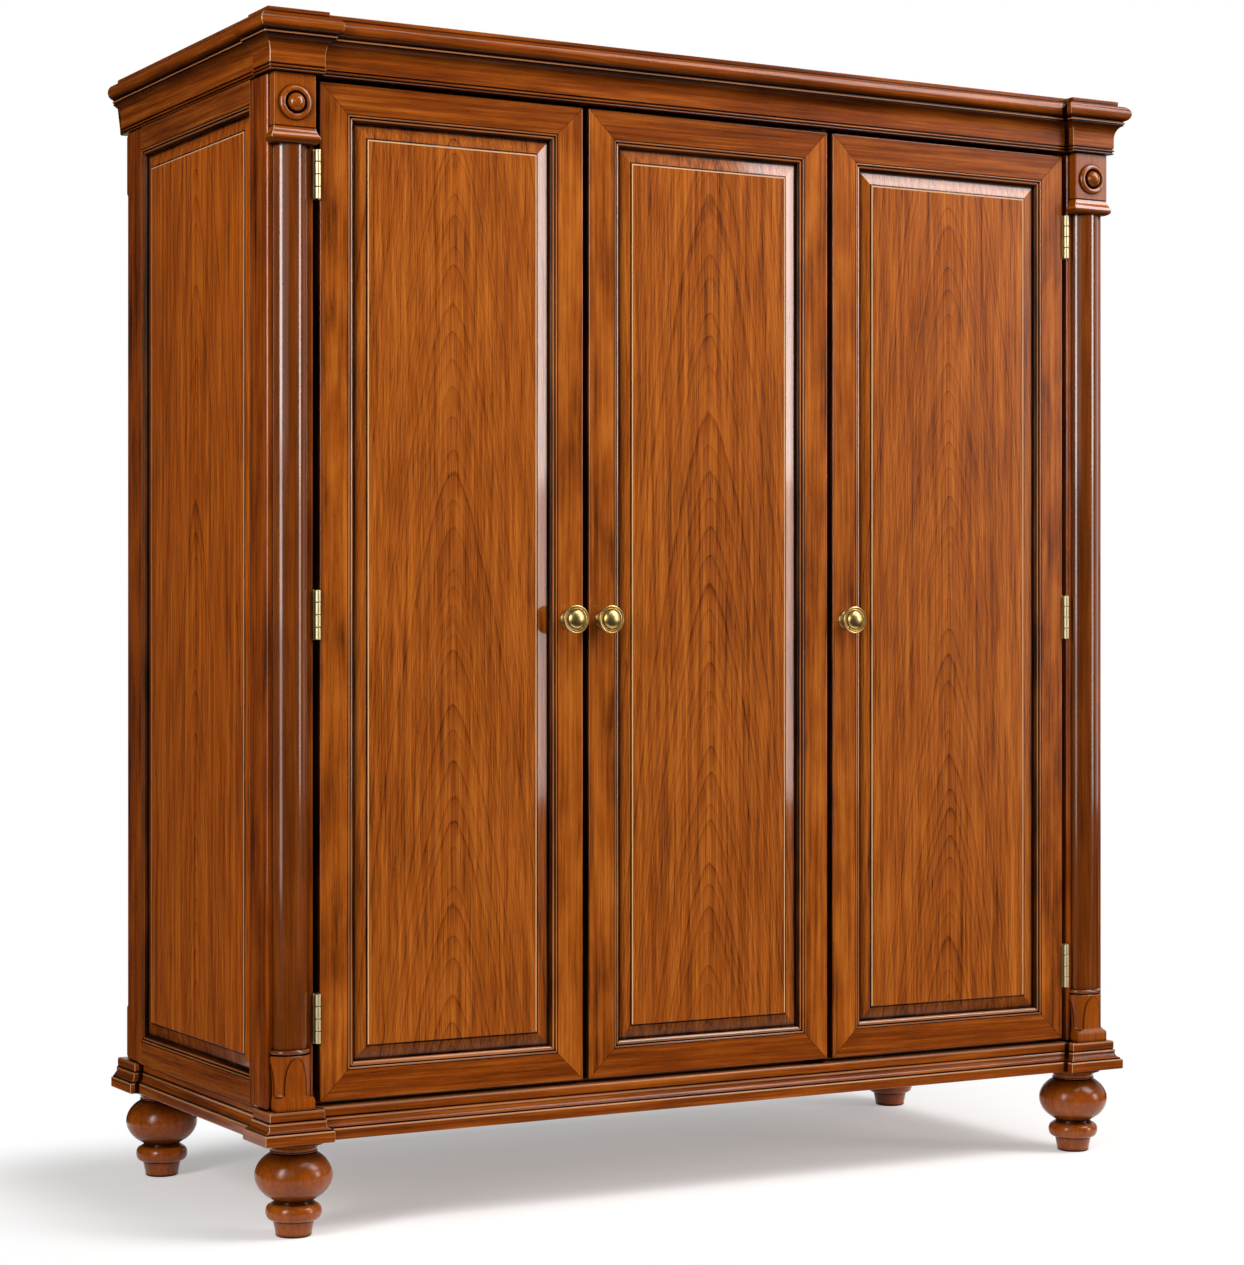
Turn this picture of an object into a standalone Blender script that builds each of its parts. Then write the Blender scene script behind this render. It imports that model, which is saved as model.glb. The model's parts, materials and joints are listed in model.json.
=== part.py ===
import bpy
import bmesh
from math import acos, cos, pi, radians, sin, sqrt
from mathutils import Matrix, Vector

mm = 0.001

# Heights, from the floor up
foot_height = 149.5 * mm
base_height = 50 * mm
door_bottom_clearance = 7 * mm
door_height = 1592 * mm
door_top_clearance = 6 * mm
cornice_height = 89 * mm
cap_height = 6.5 * mm

# Widths across the front
pair_door_width = 467 * mm
single_door_width = 495 * mm
door_gap = 11.5 * mm
post_width = 78 * mm

# Depths from front to back
carcase_depth = 628 * mm
post_depth = 72 * mm
door_thickness = 24 * mm
door_stop_space = 4 * mm
rear_overhang = 32 * mm

# Fits
joint_gap = 0.3 * mm
running_clearance = 0.4 * mm
board_gap = 1 * mm
weld_distance = 0.01 * mm
tool_overlap = 2 * mm
reach = 5 * mm

# Frame and panel section, shared by the doors and the sides
frame_face = 50 * mm
side_rail_face = 42 * mm
side_rail_thickness = 24 * mm
quirk_depth = 1.5 * mm
sticking_width = 12 * mm
sticking_depth = 8 * mm
lip_edge = 1 * mm
panel_tongue = 7 * mm
panel_movement = 3 * mm
groove_root = 0.5 * mm
bevel_width = 21 * mm
bevel_rise = 3.5 * mm
field_step = 1 * mm
door_edge_round = 2 * mm
post_edge_round = 4 * mm

# Cornice section: how far each member stands out of the frieze line
frieze_proud = 18 * mm
frieze_inset = 4 * mm
corner_front_length = 72 * mm
corner_side_length = 50 * mm
front_step = 18 * mm
cornice_side_step = 5 * mm
moulding_depth = 20 * mm
bead_out = 11.5 * mm
bead_height = 12 * mm
frieze_top = 33 * mm
fillet_out = 24.5 * mm
fillet_bottom = 54 * mm
torus_radius = 15 * mm
torus_out = 33.5 * mm
cap_out = 15.6 * mm

# Base section
base_side_step = 14 * mm
base_rear_length = 75 * mm
fascia_out = 9 * mm
fascia_height = 20 * mm
fascia_round = 3 * mm
slab_out = 22 * mm
slab_height = 18 * mm
slab_round = 1.5 * mm
base_rail_width = 106 * mm

# Corner columns and their capitals
column_radius = 30.5 * mm
column_setback = 10 * mm
column_ring_out = 2 * mm
column_ring_height = 8 * mm
column_base_height = 86 * mm
column_block_width = 70 * mm
tongue_drop = 12 * mm
tongue_bottom = 13 * mm
flat_half_width = 23 * mm
die_height = 83 * mm
die_proud = 20 * mm
cushion_height = 27 * mm
cushion_out = 6 * mm
boss_radius = 27 * mm
boss_ball_radius = 15 * mm
boss_drop = 5 * mm
rear_block_proud = 18 * mm
rear_block_top = 108 * mm
rear_block_bottom = 93 * mm

# Turned feet
foot_inset_side = 52 * mm
foot_inset_front = 17 * mm
foot_ball_radius = 61 * mm
foot_plate_radius = 48 * mm
foot_plate_height = 5 * mm
foot_collar_radius = 36 * mm
foot_collar_height = 16 * mm
foot_neck_radius = 31 * mm
foot_ball_bottom = 57 * mm
foot_ring_radius = 44 * mm
foot_ring_height = 25 * mm
foot_cone_height = 26 * mm
foot_toe_radius = 28 * mm
foot_quirk_angle = 4

# Boards inside
floor_thickness = 20 * mm
infill_thickness = 14 * mm
back_thickness = 8 * mm
rear_rail_thickness = 20 * mm
partition_thickness = 20 * mm
shelf_thickness = 20 * mm
dado_depth = 6 * mm
hat_space = 229.5 * mm
right_shelf_heights = (700 * mm, 1190 * mm)
shelf_setback = 8 * mm
rail_radius = 12.5 * mm
rail_drop = 62 * mm
rail_end_space = 30 * mm
bracket_inset = 150 * mm
bracket_wall = 5 * mm
bracket_width = 12 * mm
bracket_flange = 46 * mm

# Butt hinges
hinge_height = 78 * mm
hinge_from_top = 146 * mm
hinge_from_bottom = 131 * mm
hinge_drop = 36 * mm
knuckle_radius = 4.75 * mm
pin_radius = 2 * mm
knuckle_proud = 4 * mm
knuckle_gap = 0.4 * mm
leaf_thickness = 2 * mm
leaf_depth = 20 * mm

# Pivots of the middle door
pivot_inset = 9 * mm
pivot_pin_radius = 3 * mm
pivot_pin_depth = 12 * mm
pivot_collar_radius = 6 * mm
pivot_plate_length = 40 * mm
pivot_plate_width = 15 * mm
pivot_plate_thickness = 2.5 * mm

# Knobs
knob_inset = 27 * mm
knob_level = -42 * mm
knob_radius = 23.5 * mm
knob_ring_proud = 2 * mm

# Positions that follow from the sizes above
base_top = foot_height + base_height
door_bottom = base_top + door_bottom_clearance
door_top = door_bottom + door_height
door_middle = (door_bottom + door_top) / 2
cornice_bottom = door_top + door_top_clearance
cornice_top = cornice_bottom + cornice_height
infill_bottom = cornice_top - infill_thickness
hat_shelf_height = infill_bottom - hat_space - shelf_thickness
floor_top = base_top + joint_gap + floor_thickness
half_width = post_width + (4 * door_gap + 2 * pair_door_width + single_door_width) / 2
overall_depth = torus_out + frieze_proud + carcase_depth + rear_overhang
front = frieze_proud + torus_out - overall_depth / 2
rear = front + carcase_depth
post_inner = half_width - post_width
post_centre = half_width - post_width / 2
left_edge = -post_inner + door_gap
middle_edge = left_edge + pair_door_width + door_gap
right_edge = middle_edge + pair_door_width + door_gap
partition_centre = right_edge - door_gap / 2
inside_front = front + door_thickness + door_stop_space
back_front = rear - rear_rail_thickness - joint_gap - back_thickness
panel_face = sticking_depth + lip_edge + joint_gap


def arc(centre, radii, start, end, steps):
    # Points on an ellipse between two angles in degrees
    points = []
    for index in range(steps + 1):
        angle = radians(start + (end - start) * index / steps)
        points.append((centre[0] + radii[0] * cos(angle), centre[1] + radii[1] * sin(angle)))
    return points


def offset_path(path, distance):
    # A square-cornered path moved outwards, towards the room
    moved = []
    for index, point in enumerate(path):
        shift = Vector((0, 0))
        for start, end in ((index - 1, index), (index, index + 1)):
            if start >= 0 and end < len(path):
                step = (Vector(path[end]) - Vector(path[start])).normalized()
                shift += Vector((step.y, -step.x)) * distance
        moved.append((point[0] + shift.x, point[1] + shift.y))
    return moved


def mirrored(path):
    # The left half of a path followed by its mirror image
    return path + [(-x, y) for x, y in reversed(path)]


def new_object(name, bm):
    mesh = bpy.data.meshes.new(name)
    bm.to_mesh(mesh)
    bm.free()
    return bpy.data.objects.new(name, mesh)


def box(name, low, high):
    bm = bmesh.new()
    bmesh.ops.create_cube(bm, size=1)
    size = Vector(high) - Vector(low)
    middle = (Vector(high) + Vector(low)) / 2
    bmesh.ops.transform(bm, matrix=Matrix.Translation(middle) @ Matrix.Diagonal((*size, 1)), verts=bm.verts)
    return new_object(name, bm)


def flat_curve(name, outlines, closed):
    curve = bpy.data.curves.new(name, "CURVE")
    curve.dimensions = "2D"
    for outline in outlines:
        spline = curve.splines.new("POLY")
        spline.points.add(len(outline) - 1)
        for point, place in zip(spline.points, outline):
            point.co = (place[0], place[1], 0, 1)
        spline.use_cyclic_u = closed
    ob = bpy.data.objects.new(name, curve)
    bpy.context.scene.collection.objects.link(ob)
    return ob


def mesh_from_curve(ob):
    bpy.context.view_layer.update()
    graph = bpy.context.evaluated_depsgraph_get()
    mesh = bpy.data.meshes.new_from_object(ob.evaluated_get(graph))
    mesh.transform(ob.matrix_world)
    bm = bmesh.new()
    bm.from_mesh(mesh)
    bmesh.ops.remove_doubles(bm, verts=bm.verts, dist=weld_distance)
    bmesh.ops.recalc_face_normals(bm, faces=bm.faces)
    name = ob.name
    bpy.data.objects.remove(ob)
    return new_object(name, bm)


def prism(name, outlines, low, high):
    # A flat outline given thickness along Z, further outlines being holes
    ob = flat_curve(name, outlines, True)
    ob.data.fill_mode = "BOTH"
    ob.data.extrude = (high - low) / 2
    ob.location.z = (high + low) / 2
    return mesh_from_curve(ob)


def moulding(name, path, section, height):
    # A section run along a path with mitred corners
    guide = flat_curve(name + "_section", [section], True)
    ob = flat_curve(name, [path], False)
    ob.data.bevel_mode = "OBJECT"
    ob.data.bevel_object = guide
    ob.data.use_fill_caps = True
    ob.location.z = height
    solid = mesh_from_curve(ob)
    bpy.data.objects.remove(guide)
    return solid


def turned(name, outlines, steps, closed=False):
    # Outlines of radius and height, top to bottom, spun round Z
    mesh = bpy.data.meshes.new(name)
    points = []
    edges = []
    for outline in outlines:
        first = len(points)
        points += [(radius, 0, height) for radius, height in outline]
        edges += [(index, index + 1) for index in range(first, len(points) - 1)]
        if closed:
            edges.append((len(points) - 1, first))
    mesh.from_pydata(points, edges, [])
    ob = bpy.data.objects.new(name, mesh)
    spin = ob.modifiers.new("spin", "SCREW")
    spin.steps = steps
    spin.render_steps = steps
    spin.use_merge_vertices = True
    spin.merge_threshold = 0.00001
    spin.use_smooth_shade = steps > 4
    return ob


def turn_mesh(ob, across, depth, along, origin):
    # Stands a piece so that its X, Y and Z lie along the given directions
    frame = Matrix((across, depth, along)).transposed().to_4x4()
    frame.translation = origin
    bm = bmesh.new()
    bm.from_mesh(ob.data)
    bmesh.ops.transform(bm, matrix=frame, verts=bm.verts)
    bmesh.ops.recalc_face_normals(bm, faces=bm.faces)
    bm.to_mesh(ob.data)
    bm.free()
    return ob


def slice_off(ob, point, outward):
    # Saws a piece along a plane and closes the cut
    bm = bmesh.new()
    bm.from_mesh(ob.data)
    everything = bm.verts[:] + bm.edges[:] + bm.faces[:]
    bmesh.ops.bisect_plane(
        bm, geom=everything, dist=weld_distance, plane_co=point, plane_no=outward, clear_outer=True
    )
    bmesh.ops.holes_fill(bm, edges=[edge for edge in bm.edges if edge.is_boundary], sides=0)
    bmesh.ops.recalc_face_normals(bm, faces=bm.faces)
    bm.to_mesh(ob.data)
    bm.free()


def helper(ob):
    cutters.objects.link(ob)
    ob.hide_render = True
    ob.display_type = "WIRE"


def combine(ob, tool, operation):
    if tool.name not in cutters.objects:
        helper(tool)
    change = ob.modifiers.new(operation.lower(), "BOOLEAN")
    change.operation = operation
    change.solver = "EXACT"
    change.object = tool


def add_part(ob, finish, axis=None):
    parts.objects.link(ob)
    material = bpy.data.materials.new(ob.name + "_" + finish)
    material.use_nodes = True
    shader = material.node_tree.nodes["Principled BSDF"]
    colour, roughness, metallic = finishes[finish]
    shader.inputs["Base Color"].default_value = (*colour, 1)
    shader.inputs["Roughness"].default_value = roughness
    shader.inputs["Metallic"].default_value = metallic
    ob.data.materials.append(material)
    if axis:
        ob.parent = axis
        ob.matrix_parent_inverse = Matrix.Translation(-axis.location)
    return ob


def joint_axis(name, x, y):
    axis = bpy.data.objects.new(name, None)
    axis.location = (x, y, door_middle)
    axis.empty_display_size = reach
    parts.objects.link(axis)
    return axis


def groove_section(edge, back):
    # Quirk, ovolo and panel groove on the inner edge of a frame member
    ovolo = arc((edge, sticking_depth), (sticking_width, sticking_depth - quirk_depth), -90, 0, 5)
    groove_front = sticking_depth + lip_edge
    groove_back = groove_front + panel_tongue + 2 * joint_gap
    outer = edge + sticking_width
    root = edge + groove_root
    groove = [(outer, groove_front), (root, groove_front), (root, groove_back), (outer, groove_back)]
    return ovolo + groove + [(outer, back)]


def frame_member(name, section, origin, across, depth, along, length):
    # A straight member sawn at 45 degrees at both ends
    across = Vector(across)
    along = Vector(along)
    ob = prism(name, [section], -reach, length + reach)
    turn_mesh(ob, across, Vector(depth), along, Vector(origin))
    clear = joint_gap / sqrt(2)
    slice_off(ob, Vector(origin) + along * clear, across - along)
    slice_off(ob, Vector(origin) + along * (length - clear), across + along)
    return ob


def fielded_panel(name, width, height, across, depth, up, centre):
    # A panel with a tongue, a sloping border and a raised field
    hidden = sticking_width - panel_movement
    tongue = Vector((width / 2 - panel_movement, panel_tongue / 2, height / 2 - panel_movement))
    ob = box(name, -tongue, tongue)
    bm = bmesh.new()
    bm.from_mesh(ob.data)
    bm.normal_update()
    face = min(bm.faces, key=lambda item: item.normal.y)
    for inset, rise in ((hidden, 0), (bevel_width, bevel_rise), (field_step, field_step)):
        bmesh.ops.inset_region(bm, faces=[face], thickness=inset, depth=rise, use_even_offset=True)
    bm.to_mesh(ob.data)
    bm.free()
    middle = Vector(centre) + Vector(depth) * (panel_face + panel_tongue / 2)
    return turn_mesh(ob, Vector(across), Vector(depth), Vector(up), middle)


for old in list(bpy.data.objects):
    bpy.data.objects.remove(old)
parts = bpy.data.collections.new("three_door_wardrobe")
cutters = bpy.data.collections.new("cutters")
bpy.context.scene.collection.children.link(parts)
bpy.context.scene.collection.children.link(cutters)

finishes = {
    "frame_wood": ((0.20, 0.065, 0.02), 0.3, 0),
    "panel_wood": ((0.30, 0.10, 0.03), 0.3, 0),
    "inside_wood": ((0.38, 0.20, 0.09), 0.5, 0),
    "brass": ((0.80, 0.62, 0.30), 0.25, 1),
    "steel": ((0.60, 0.60, 0.60), 0.3, 1),
}

# Line of the base, out round each corner block and in along each run
base_side = half_width - frieze_inset
base_front = front - frieze_proud
base_rear = rear + rear_overhang
base_path = mirrored(
    [
        (-base_side, base_rear),
        (-base_side, base_rear - base_rear_length),
        (-base_side + base_side_step, base_rear - base_rear_length),
        (-base_side + base_side_step, base_front + corner_side_length),
        (-base_side, base_front + corner_side_length),
        (-base_side, base_front),
        (-base_side + corner_front_length, base_front),
        (-base_side + corner_front_length, base_front + front_step),
    ]
)

# Base moulding: flat slab, cove, upright fascia with a rounded top edge
fascia_bottom = base_height - fascia_height
cove_foot = slab_out - 2 * slab_round
cove_size = (cove_foot - fascia_out, fascia_bottom - slab_height)
base_section = [(-moulding_depth, 0)]
base_section += arc((slab_out - slab_round, slab_round), (slab_round, slab_round), -90, 0, 2)
base_section += arc((slab_out - slab_round, slab_height - slab_round), (slab_round, slab_round), 0, 90, 2)
base_section += arc((cove_foot, fascia_bottom), cove_size, 270, 180, 5)
fascia_corner = (fascia_out - fascia_round, base_height - fascia_round)
base_section += arc(fascia_corner, (fascia_round, fascia_round), 0, 90, 3)
base_section += [(-moulding_depth, base_height)]
base = moulding("base_moulding", base_path, base_section, foot_height)

# Rails behind the base moulding that carry the feet and the floor
ring_outer = offset_path(base_path, -reach)
ring_outer[0] = (ring_outer[0][0], base_rear - board_gap)
ring_outer[-1] = (ring_outer[-1][0], base_rear - board_gap)
ring_x = half_width - base_rail_width
ring_y = (front + base_rail_width, rear - base_rail_width)
ring_inner = [(-ring_x, ring_y[0]), (ring_x, ring_y[0]), (ring_x, ring_y[1]), (-ring_x, ring_y[1])]
base_rails = prism("base_rails", [ring_outer, ring_inner], foot_height + board_gap, base_top - board_gap)
combine(base, base_rails, "UNION")
add_part(base, "frame_wood")

# Turned feet: toe, ring, neck, squat ball and a collar that flares out to a plate
ball_top_angle = acos(foot_collar_radius / foot_ball_radius)
ball_bottom_angle = acos(foot_neck_radius / foot_ball_radius)
foot_top = foot_height - joint_gap
collar_bottom = foot_height - foot_collar_height
ball_rise = (collar_bottom - foot_ball_bottom) / (sin(ball_top_angle) + sin(ball_bottom_angle))
ball_middle = foot_ball_bottom + ball_rise * sin(ball_bottom_angle)
ring_middle = foot_cone_height + foot_ring_height / 2
ring_bulge = foot_ring_height / 3
collar_lip = collar_bottom + lip_edge
flare_size = (foot_plate_radius - foot_collar_radius, foot_height - foot_plate_height - collar_lip)
foot_outline = [(0, foot_top), (foot_plate_radius, foot_top)]
foot_outline += arc((foot_plate_radius, collar_lip), flare_size, 90, 180, 3)
foot_outline += arc(
    (0, ball_middle),
    (foot_ball_radius, ball_rise),
    ball_top_angle * 180 / pi - foot_quirk_angle,
    -ball_bottom_angle * 180 / pi,
    7,
)
foot_outline += [(foot_neck_radius, foot_cone_height + foot_ring_height)]
foot_outline += arc(
    (foot_ring_radius - ring_bulge, ring_middle), (ring_bulge, foot_ring_height / 2), 85, -85, 5
)
foot_outline += [(foot_neck_radius + lip_edge, foot_cone_height), (foot_toe_radius, lip_edge)]
foot_outline += [(foot_toe_radius - lip_edge, 0), (0, 0)]
foot_x = half_width - foot_inset_side
foot_rear = rear + rear_overhang - foot_ball_radius
for level, y in (("front", front + foot_inset_front), ("rear", foot_rear)):
    for side, sign in (("left", -1), ("right", 1)):
        foot = turned(f"foot_{level}_{side}", [foot_outline], 20)
        foot.location = (sign * foot_x, y, 0)
        add_part(foot, "frame_wood")

# Floor board, notched round the four posts
floor_side = half_width - side_rail_thickness - joint_gap
floor_notch = post_inner - joint_gap
floor_rear = rear - rear_rail_thickness - joint_gap
notch_front = front + post_depth + joint_gap
notch_rear = rear - post_depth - joint_gap
floor_half = [
    (-floor_notch, floor_rear),
    (-floor_notch, notch_rear),
    (-floor_side, notch_rear),
    (-floor_side, notch_front),
    (-floor_notch, notch_front),
    (-floor_notch, inside_front),
]
add_part(prism("floor_board", [mirrored(floor_half)], base_top + joint_gap, floor_top), "inside_wood")

# Cutter for the housings of one shelf: a slot across posts and partition
def shelf_slot(name, start, end, bottom):
    low = (start, inside_front, bottom - joint_gap)
    high = (end, back_front, bottom + shelf_thickness + joint_gap)
    return box(name, low, high)


partition_left = partition_centre - partition_thickness / 2
partition_right = partition_centre + partition_thickness / 2
hat_start = -post_inner - dado_depth
hat_end = partition_left + dado_depth
hat_slot_left = shelf_slot("slot_hat_left", hat_start, -post_inner + reach, hat_shelf_height)
hat_slot_right = shelf_slot("slot_hat_right", partition_left - reach, hat_end, hat_shelf_height)
shelf_slots = []
for number, level in enumerate(right_shelf_heights, 1):
    inner = shelf_slot(f"slot_{number}_left", partition_right - dado_depth, partition_right + reach, level)
    outer = shelf_slot(f"slot_{number}_right", post_inner - reach, post_inner + dado_depth, level)
    shelf_slots.append((inner, outer))

# Side frames: posts, rails and fielded panels
frame_bottom = base_top + joint_gap
frame_top = cornice_bottom - joint_gap
opening_bottom = frame_bottom + side_rail_face
opening_top = frame_top - side_rail_face
opening_height = opening_top - opening_bottom
opening_depth = carcase_depth - 2 * post_depth
strip_section = [(-tool_overlap, quirk_depth)]
strip_section += groove_section(0, side_rail_thickness - groove_root)
strip_section += [(-tool_overlap, side_rail_thickness - groove_root)]
for side, sign in (("left", -1), ("right", 1)):
    outer = sign * half_width
    inner = sign * post_inner
    inward = (-sign, 0, 0)

    # Front post with a rounded outer corner
    corner_middle = (outer - sign * post_edge_round, front + post_edge_round)
    corner = arc(corner_middle, (sign * post_edge_round, post_edge_round), 0, -90, 3)
    outline = [(inner, front), (inner, front + post_depth), (outer, front + post_depth)] + corner
    post = prism(f"post_front_{side}", [outline], frame_bottom, frame_top)
    start = (outer, front + post_depth, opening_bottom)
    strip_name = f"strip_front_{side}"
    strip = frame_member(strip_name, strip_section, start, (0, 1, 0), inward, (0, 0, 1), opening_height)
    combine(post, strip, "UNION")
    add_part(post, "frame_wood")

    # Rear post with a block at the top and the bottom of its back
    low = (min(outer, inner), rear - post_depth, frame_bottom)
    high = (max(outer, inner), rear, frame_top)
    rear_post = box(f"post_rear_{side}", low, high)
    start = (outer, rear - post_depth, opening_bottom)
    strip_name = f"strip_rear_{side}"
    strip = frame_member(strip_name, strip_section, start, (0, -1, 0), inward, (0, 0, 1), opening_height)
    combine(rear_post, strip, "UNION")
    block_sides = (sign * post_centre - column_block_width / 2, sign * post_centre + column_block_width / 2)
    block_spans = (
        (frame_top - rear_block_top, frame_top - board_gap),
        (frame_bottom + board_gap, frame_bottom + rear_block_bottom),
    )
    for end, span in zip(("top", "bottom"), block_spans):
        low = (block_sides[0], rear - tool_overlap, span[0])
        high = (block_sides[1], rear + rear_block_proud, span[1])
        combine(rear_post, box(f"block_{end}_{side}", low, high), "UNION")
    add_part(rear_post, "frame_wood")

    # Housings for the shelves that end in these posts
    slots = [hat_slot_left] if side == "left" else [pair[1] for pair in shelf_slots]
    for slot in slots:
        combine(post, slot, "DIFFERENCE")
        combine(rear_post, slot, "DIFFERENCE")

    # Top and bottom rails
    rail_ends = (front + post_depth + joint_gap, rear - post_depth - joint_gap)
    rail_sides = sorted((outer, outer - sign * side_rail_thickness))
    rails = (
        ("top", (0, 0, -1), opening_top, opening_top, frame_top),
        ("bottom", (0, 0, 1), opening_bottom, frame_bottom, opening_bottom),
    )
    for level, across, edge, low, high in rails:
        rail_low = (rail_sides[0], rail_ends[0], low)
        rail_high = (rail_sides[1], rail_ends[1], high)
        rail = box(f"side_rail_{level}_{side}", rail_low, rail_high)
        start = (outer, front + post_depth, edge)
        strip_name = f"strip_{level}_{side}"
        strip = frame_member(strip_name, strip_section, start, across, inward, (0, 1, 0), opening_depth)
        slice_off(strip, (outer, rail_ends[0], edge), (0, -1, 0))
        slice_off(strip, (outer, rail_ends[1], edge), (0, 1, 0))
        combine(rail, strip, "UNION")
        add_part(rail, "frame_wood")

    centre = (outer, (front + rear) / 2, (opening_bottom + opening_top) / 2)
    panel_size = (opening_depth, opening_height)
    panel = fielded_panel(f"side_panel_{side}", *panel_size, (0, 1, 0), inward, (0, 0, 1), centre)
    add_part(panel, "panel_wood")

# Back panel between the rear posts
back_low = (-floor_notch, back_front, floor_top + joint_gap)
back_high = (floor_notch, back_front + back_thickness, infill_bottom - joint_gap)
add_part(box("back_panel", back_low, back_high), "inside_wood")

# Cornice: bead, frieze, cavetto, fillet and torus, broken forward at the front corners
cornice_side = half_width - frieze_inset
cornice_path = mirrored(
    [
        (-cornice_side + cornice_side_step, rear + rear_overhang),
        (-cornice_side + cornice_side_step, base_front + corner_side_length),
        (-cornice_side, base_front + corner_side_length),
        (-cornice_side, base_front),
        (-cornice_side + corner_front_length, base_front),
        (-cornice_side + corner_front_length, base_front + front_step),
    ]
)
frieze_out = bead_out - field_step
torus_middle = cornice_height - torus_radius
torus_centre = torus_out - torus_radius
torus_start = -acos((fillet_out - torus_centre) / torus_radius) * 180 / pi
cornice_section = [(-moulding_depth, 0)]
cornice_section += arc((field_step, bead_height - lip_edge), (frieze_out, bead_height - lip_edge), -90, 0, 5)
cornice_section += [(frieze_out, bead_height)]
cavetto_size = (fillet_out - frieze_out, fillet_bottom - frieze_top)
cornice_section += arc((fillet_out, frieze_top), cavetto_size, 180, 90, 6)
cornice_section += arc((torus_centre, torus_middle), (torus_radius, torus_radius), torus_start, 90, 9)
cornice_section += [(-moulding_depth, cornice_height)]
cornice = moulding("cornice", cornice_path, cornice_section, cornice_bottom)
rear_rail_side = cornice_side - cornice_side_step - reach
rear_rail_low = (-rear_rail_side, rear - rear_rail_thickness, cornice_bottom + board_gap)
rear_rail_high = (rear_rail_side, rear, cornice_top - board_gap)
combine(cornice, box("cornice_rear_rail", rear_rail_low, rear_rail_high), "UNION")
add_part(cornice, "frame_wood")

# Top board: a cap on the cornice with a thicker infill inside it
cap_outline = offset_path(cornice_path, cap_out)
top_board = prism("top_board", [cap_outline], cornice_top + joint_gap, cornice_top + cap_height)
infill_side = cornice_side - cornice_side_step - moulding_depth - joint_gap
infill_low = (-infill_side, front + moulding_depth + joint_gap, infill_bottom)
infill_high = (infill_side, rear - rear_rail_thickness - joint_gap, cornice_top + tool_overlap)
combine(top_board, box("top_infill", infill_low, infill_high), "UNION")
add_part(top_board, "frame_wood")

# Corner columns: turned, then cut from a square block so the base keeps square corners
column_bottom = base_top + joint_gap
column_top = cornice_bottom - die_height - cushion_height
ring_reach = column_radius + column_ring_out
block_front = ring_reach + joint_gap
block_corner = sqrt(block_front**2 + (column_block_width / 2) ** 2)
tongue_foot = block_corner + lip_edge
tongue_top = column_base_height - lip_edge
ring_centre = column_base_height + column_ring_height / 2
column_height = column_top - column_bottom - joint_gap
column_outline = [(0, column_height), (column_radius, column_height)]
column_outline += [(column_radius, column_base_height + column_ring_height)]
column_outline += arc((column_radius, ring_centre), (column_ring_out, column_ring_height / 2), 60, -90, 4)
# The corners widen slowly under the ring, so each flat face has an arched top
tongue_start = tongue_bottom + tongue_drop
for index in range(7):
    share = index / 6
    radius = sqrt(ring_reach**2 + share * flat_half_width**2)
    column_outline.append((radius, tongue_top + (tongue_start - tongue_top) * share))
# Then a short lamb's tongue runs each corner out to the square
for index in range(1, 5):
    swell = (1 - cos(pi * index / 4)) / 2
    column_outline.append((radius + (tongue_foot - radius) * swell, tongue_start - tongue_drop * index / 4))
column_outline += [(tongue_foot, 0), (0, 0)]

# Capital in square plan: die above, swelling cushion below
die_half = column_block_width / 2
cushion_widest = cushion_height / 3
capital_height = die_height + cushion_height
capital_outline = [(0, capital_height), (die_half, capital_height)]
for index in range(7):
    share = index / 6
    swell = cushion_out * (1 - cos(pi * share)) / 2
    capital_outline.append((die_half + swell, cushion_height - (cushion_height - cushion_widest) * share))
cushion_centre = (die_half - lip_edge, cushion_widest)
capital_outline += arc(cushion_centre, (cushion_out + lip_edge, cushion_widest), -18, -90, 4)
capital_outline += [(0, 0)]
square_outline = [(radius * sqrt(2), height) for radius, height in capital_outline]

# Boss of a ring round a ball
ball_base = boss_ball_radius + lip_edge
ring_width = (boss_radius - ball_base) / 2
boss_outline = arc((0, lip_edge), (boss_ball_radius, boss_ball_radius), 90, 0, 5)
boss_outline += arc((ball_base + ring_width, lip_edge), (ring_width, ring_width), 170, 0, 5)
boss_outline += [(boss_radius, -tool_overlap), (0, -tool_overlap)]
for side, sign in (("left", -1), ("right", 1)):
    x = sign * post_centre
    column = turned(f"column_{side}", [column_outline], 24)
    column.location = (x, front + column_setback, column_bottom)
    low = (x - column_block_width / 2, front + column_setback - block_front, base_top)
    high = (x + column_block_width / 2, front - joint_gap, column_top)
    combine(column, box(f"column_block_{side}", low, high), "INTERSECT")
    add_part(column, "frame_wood")

    capital = turned(f"capital_{side}", [square_outline], 4)
    capital.rotation_euler.z = pi / 4
    capital.location = (x, front - die_proud + die_half, column_top - joint_gap)
    low = (x - post_width, front - post_depth, column_top - reach)
    high = (x + post_width, front - joint_gap, cornice_bottom)
    combine(capital, box(f"capital_front_{side}", low, high), "INTERSECT")
    boss = turned(f"boss_{side}", [boss_outline], 20)
    boss.rotation_euler.x = pi / 2
    boss.location = (x, front - die_proud, column_top + cushion_height + die_height / 2 - boss_drop)
    combine(capital, boss, "UNION")
    add_part(capital, "frame_wood")

# Upright partition beside the middle door
partition_low = (partition_left, inside_front, floor_top + joint_gap)
partition_high = (partition_right, back_front - joint_gap, infill_bottom - joint_gap)
partition = box("partition", partition_low, partition_high)
combine(partition, hat_slot_right, "DIFFERENCE")
for pair in shelf_slots:
    combine(partition, pair[0], "DIFFERENCE")
add_part(partition, "inside_wood")


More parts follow.
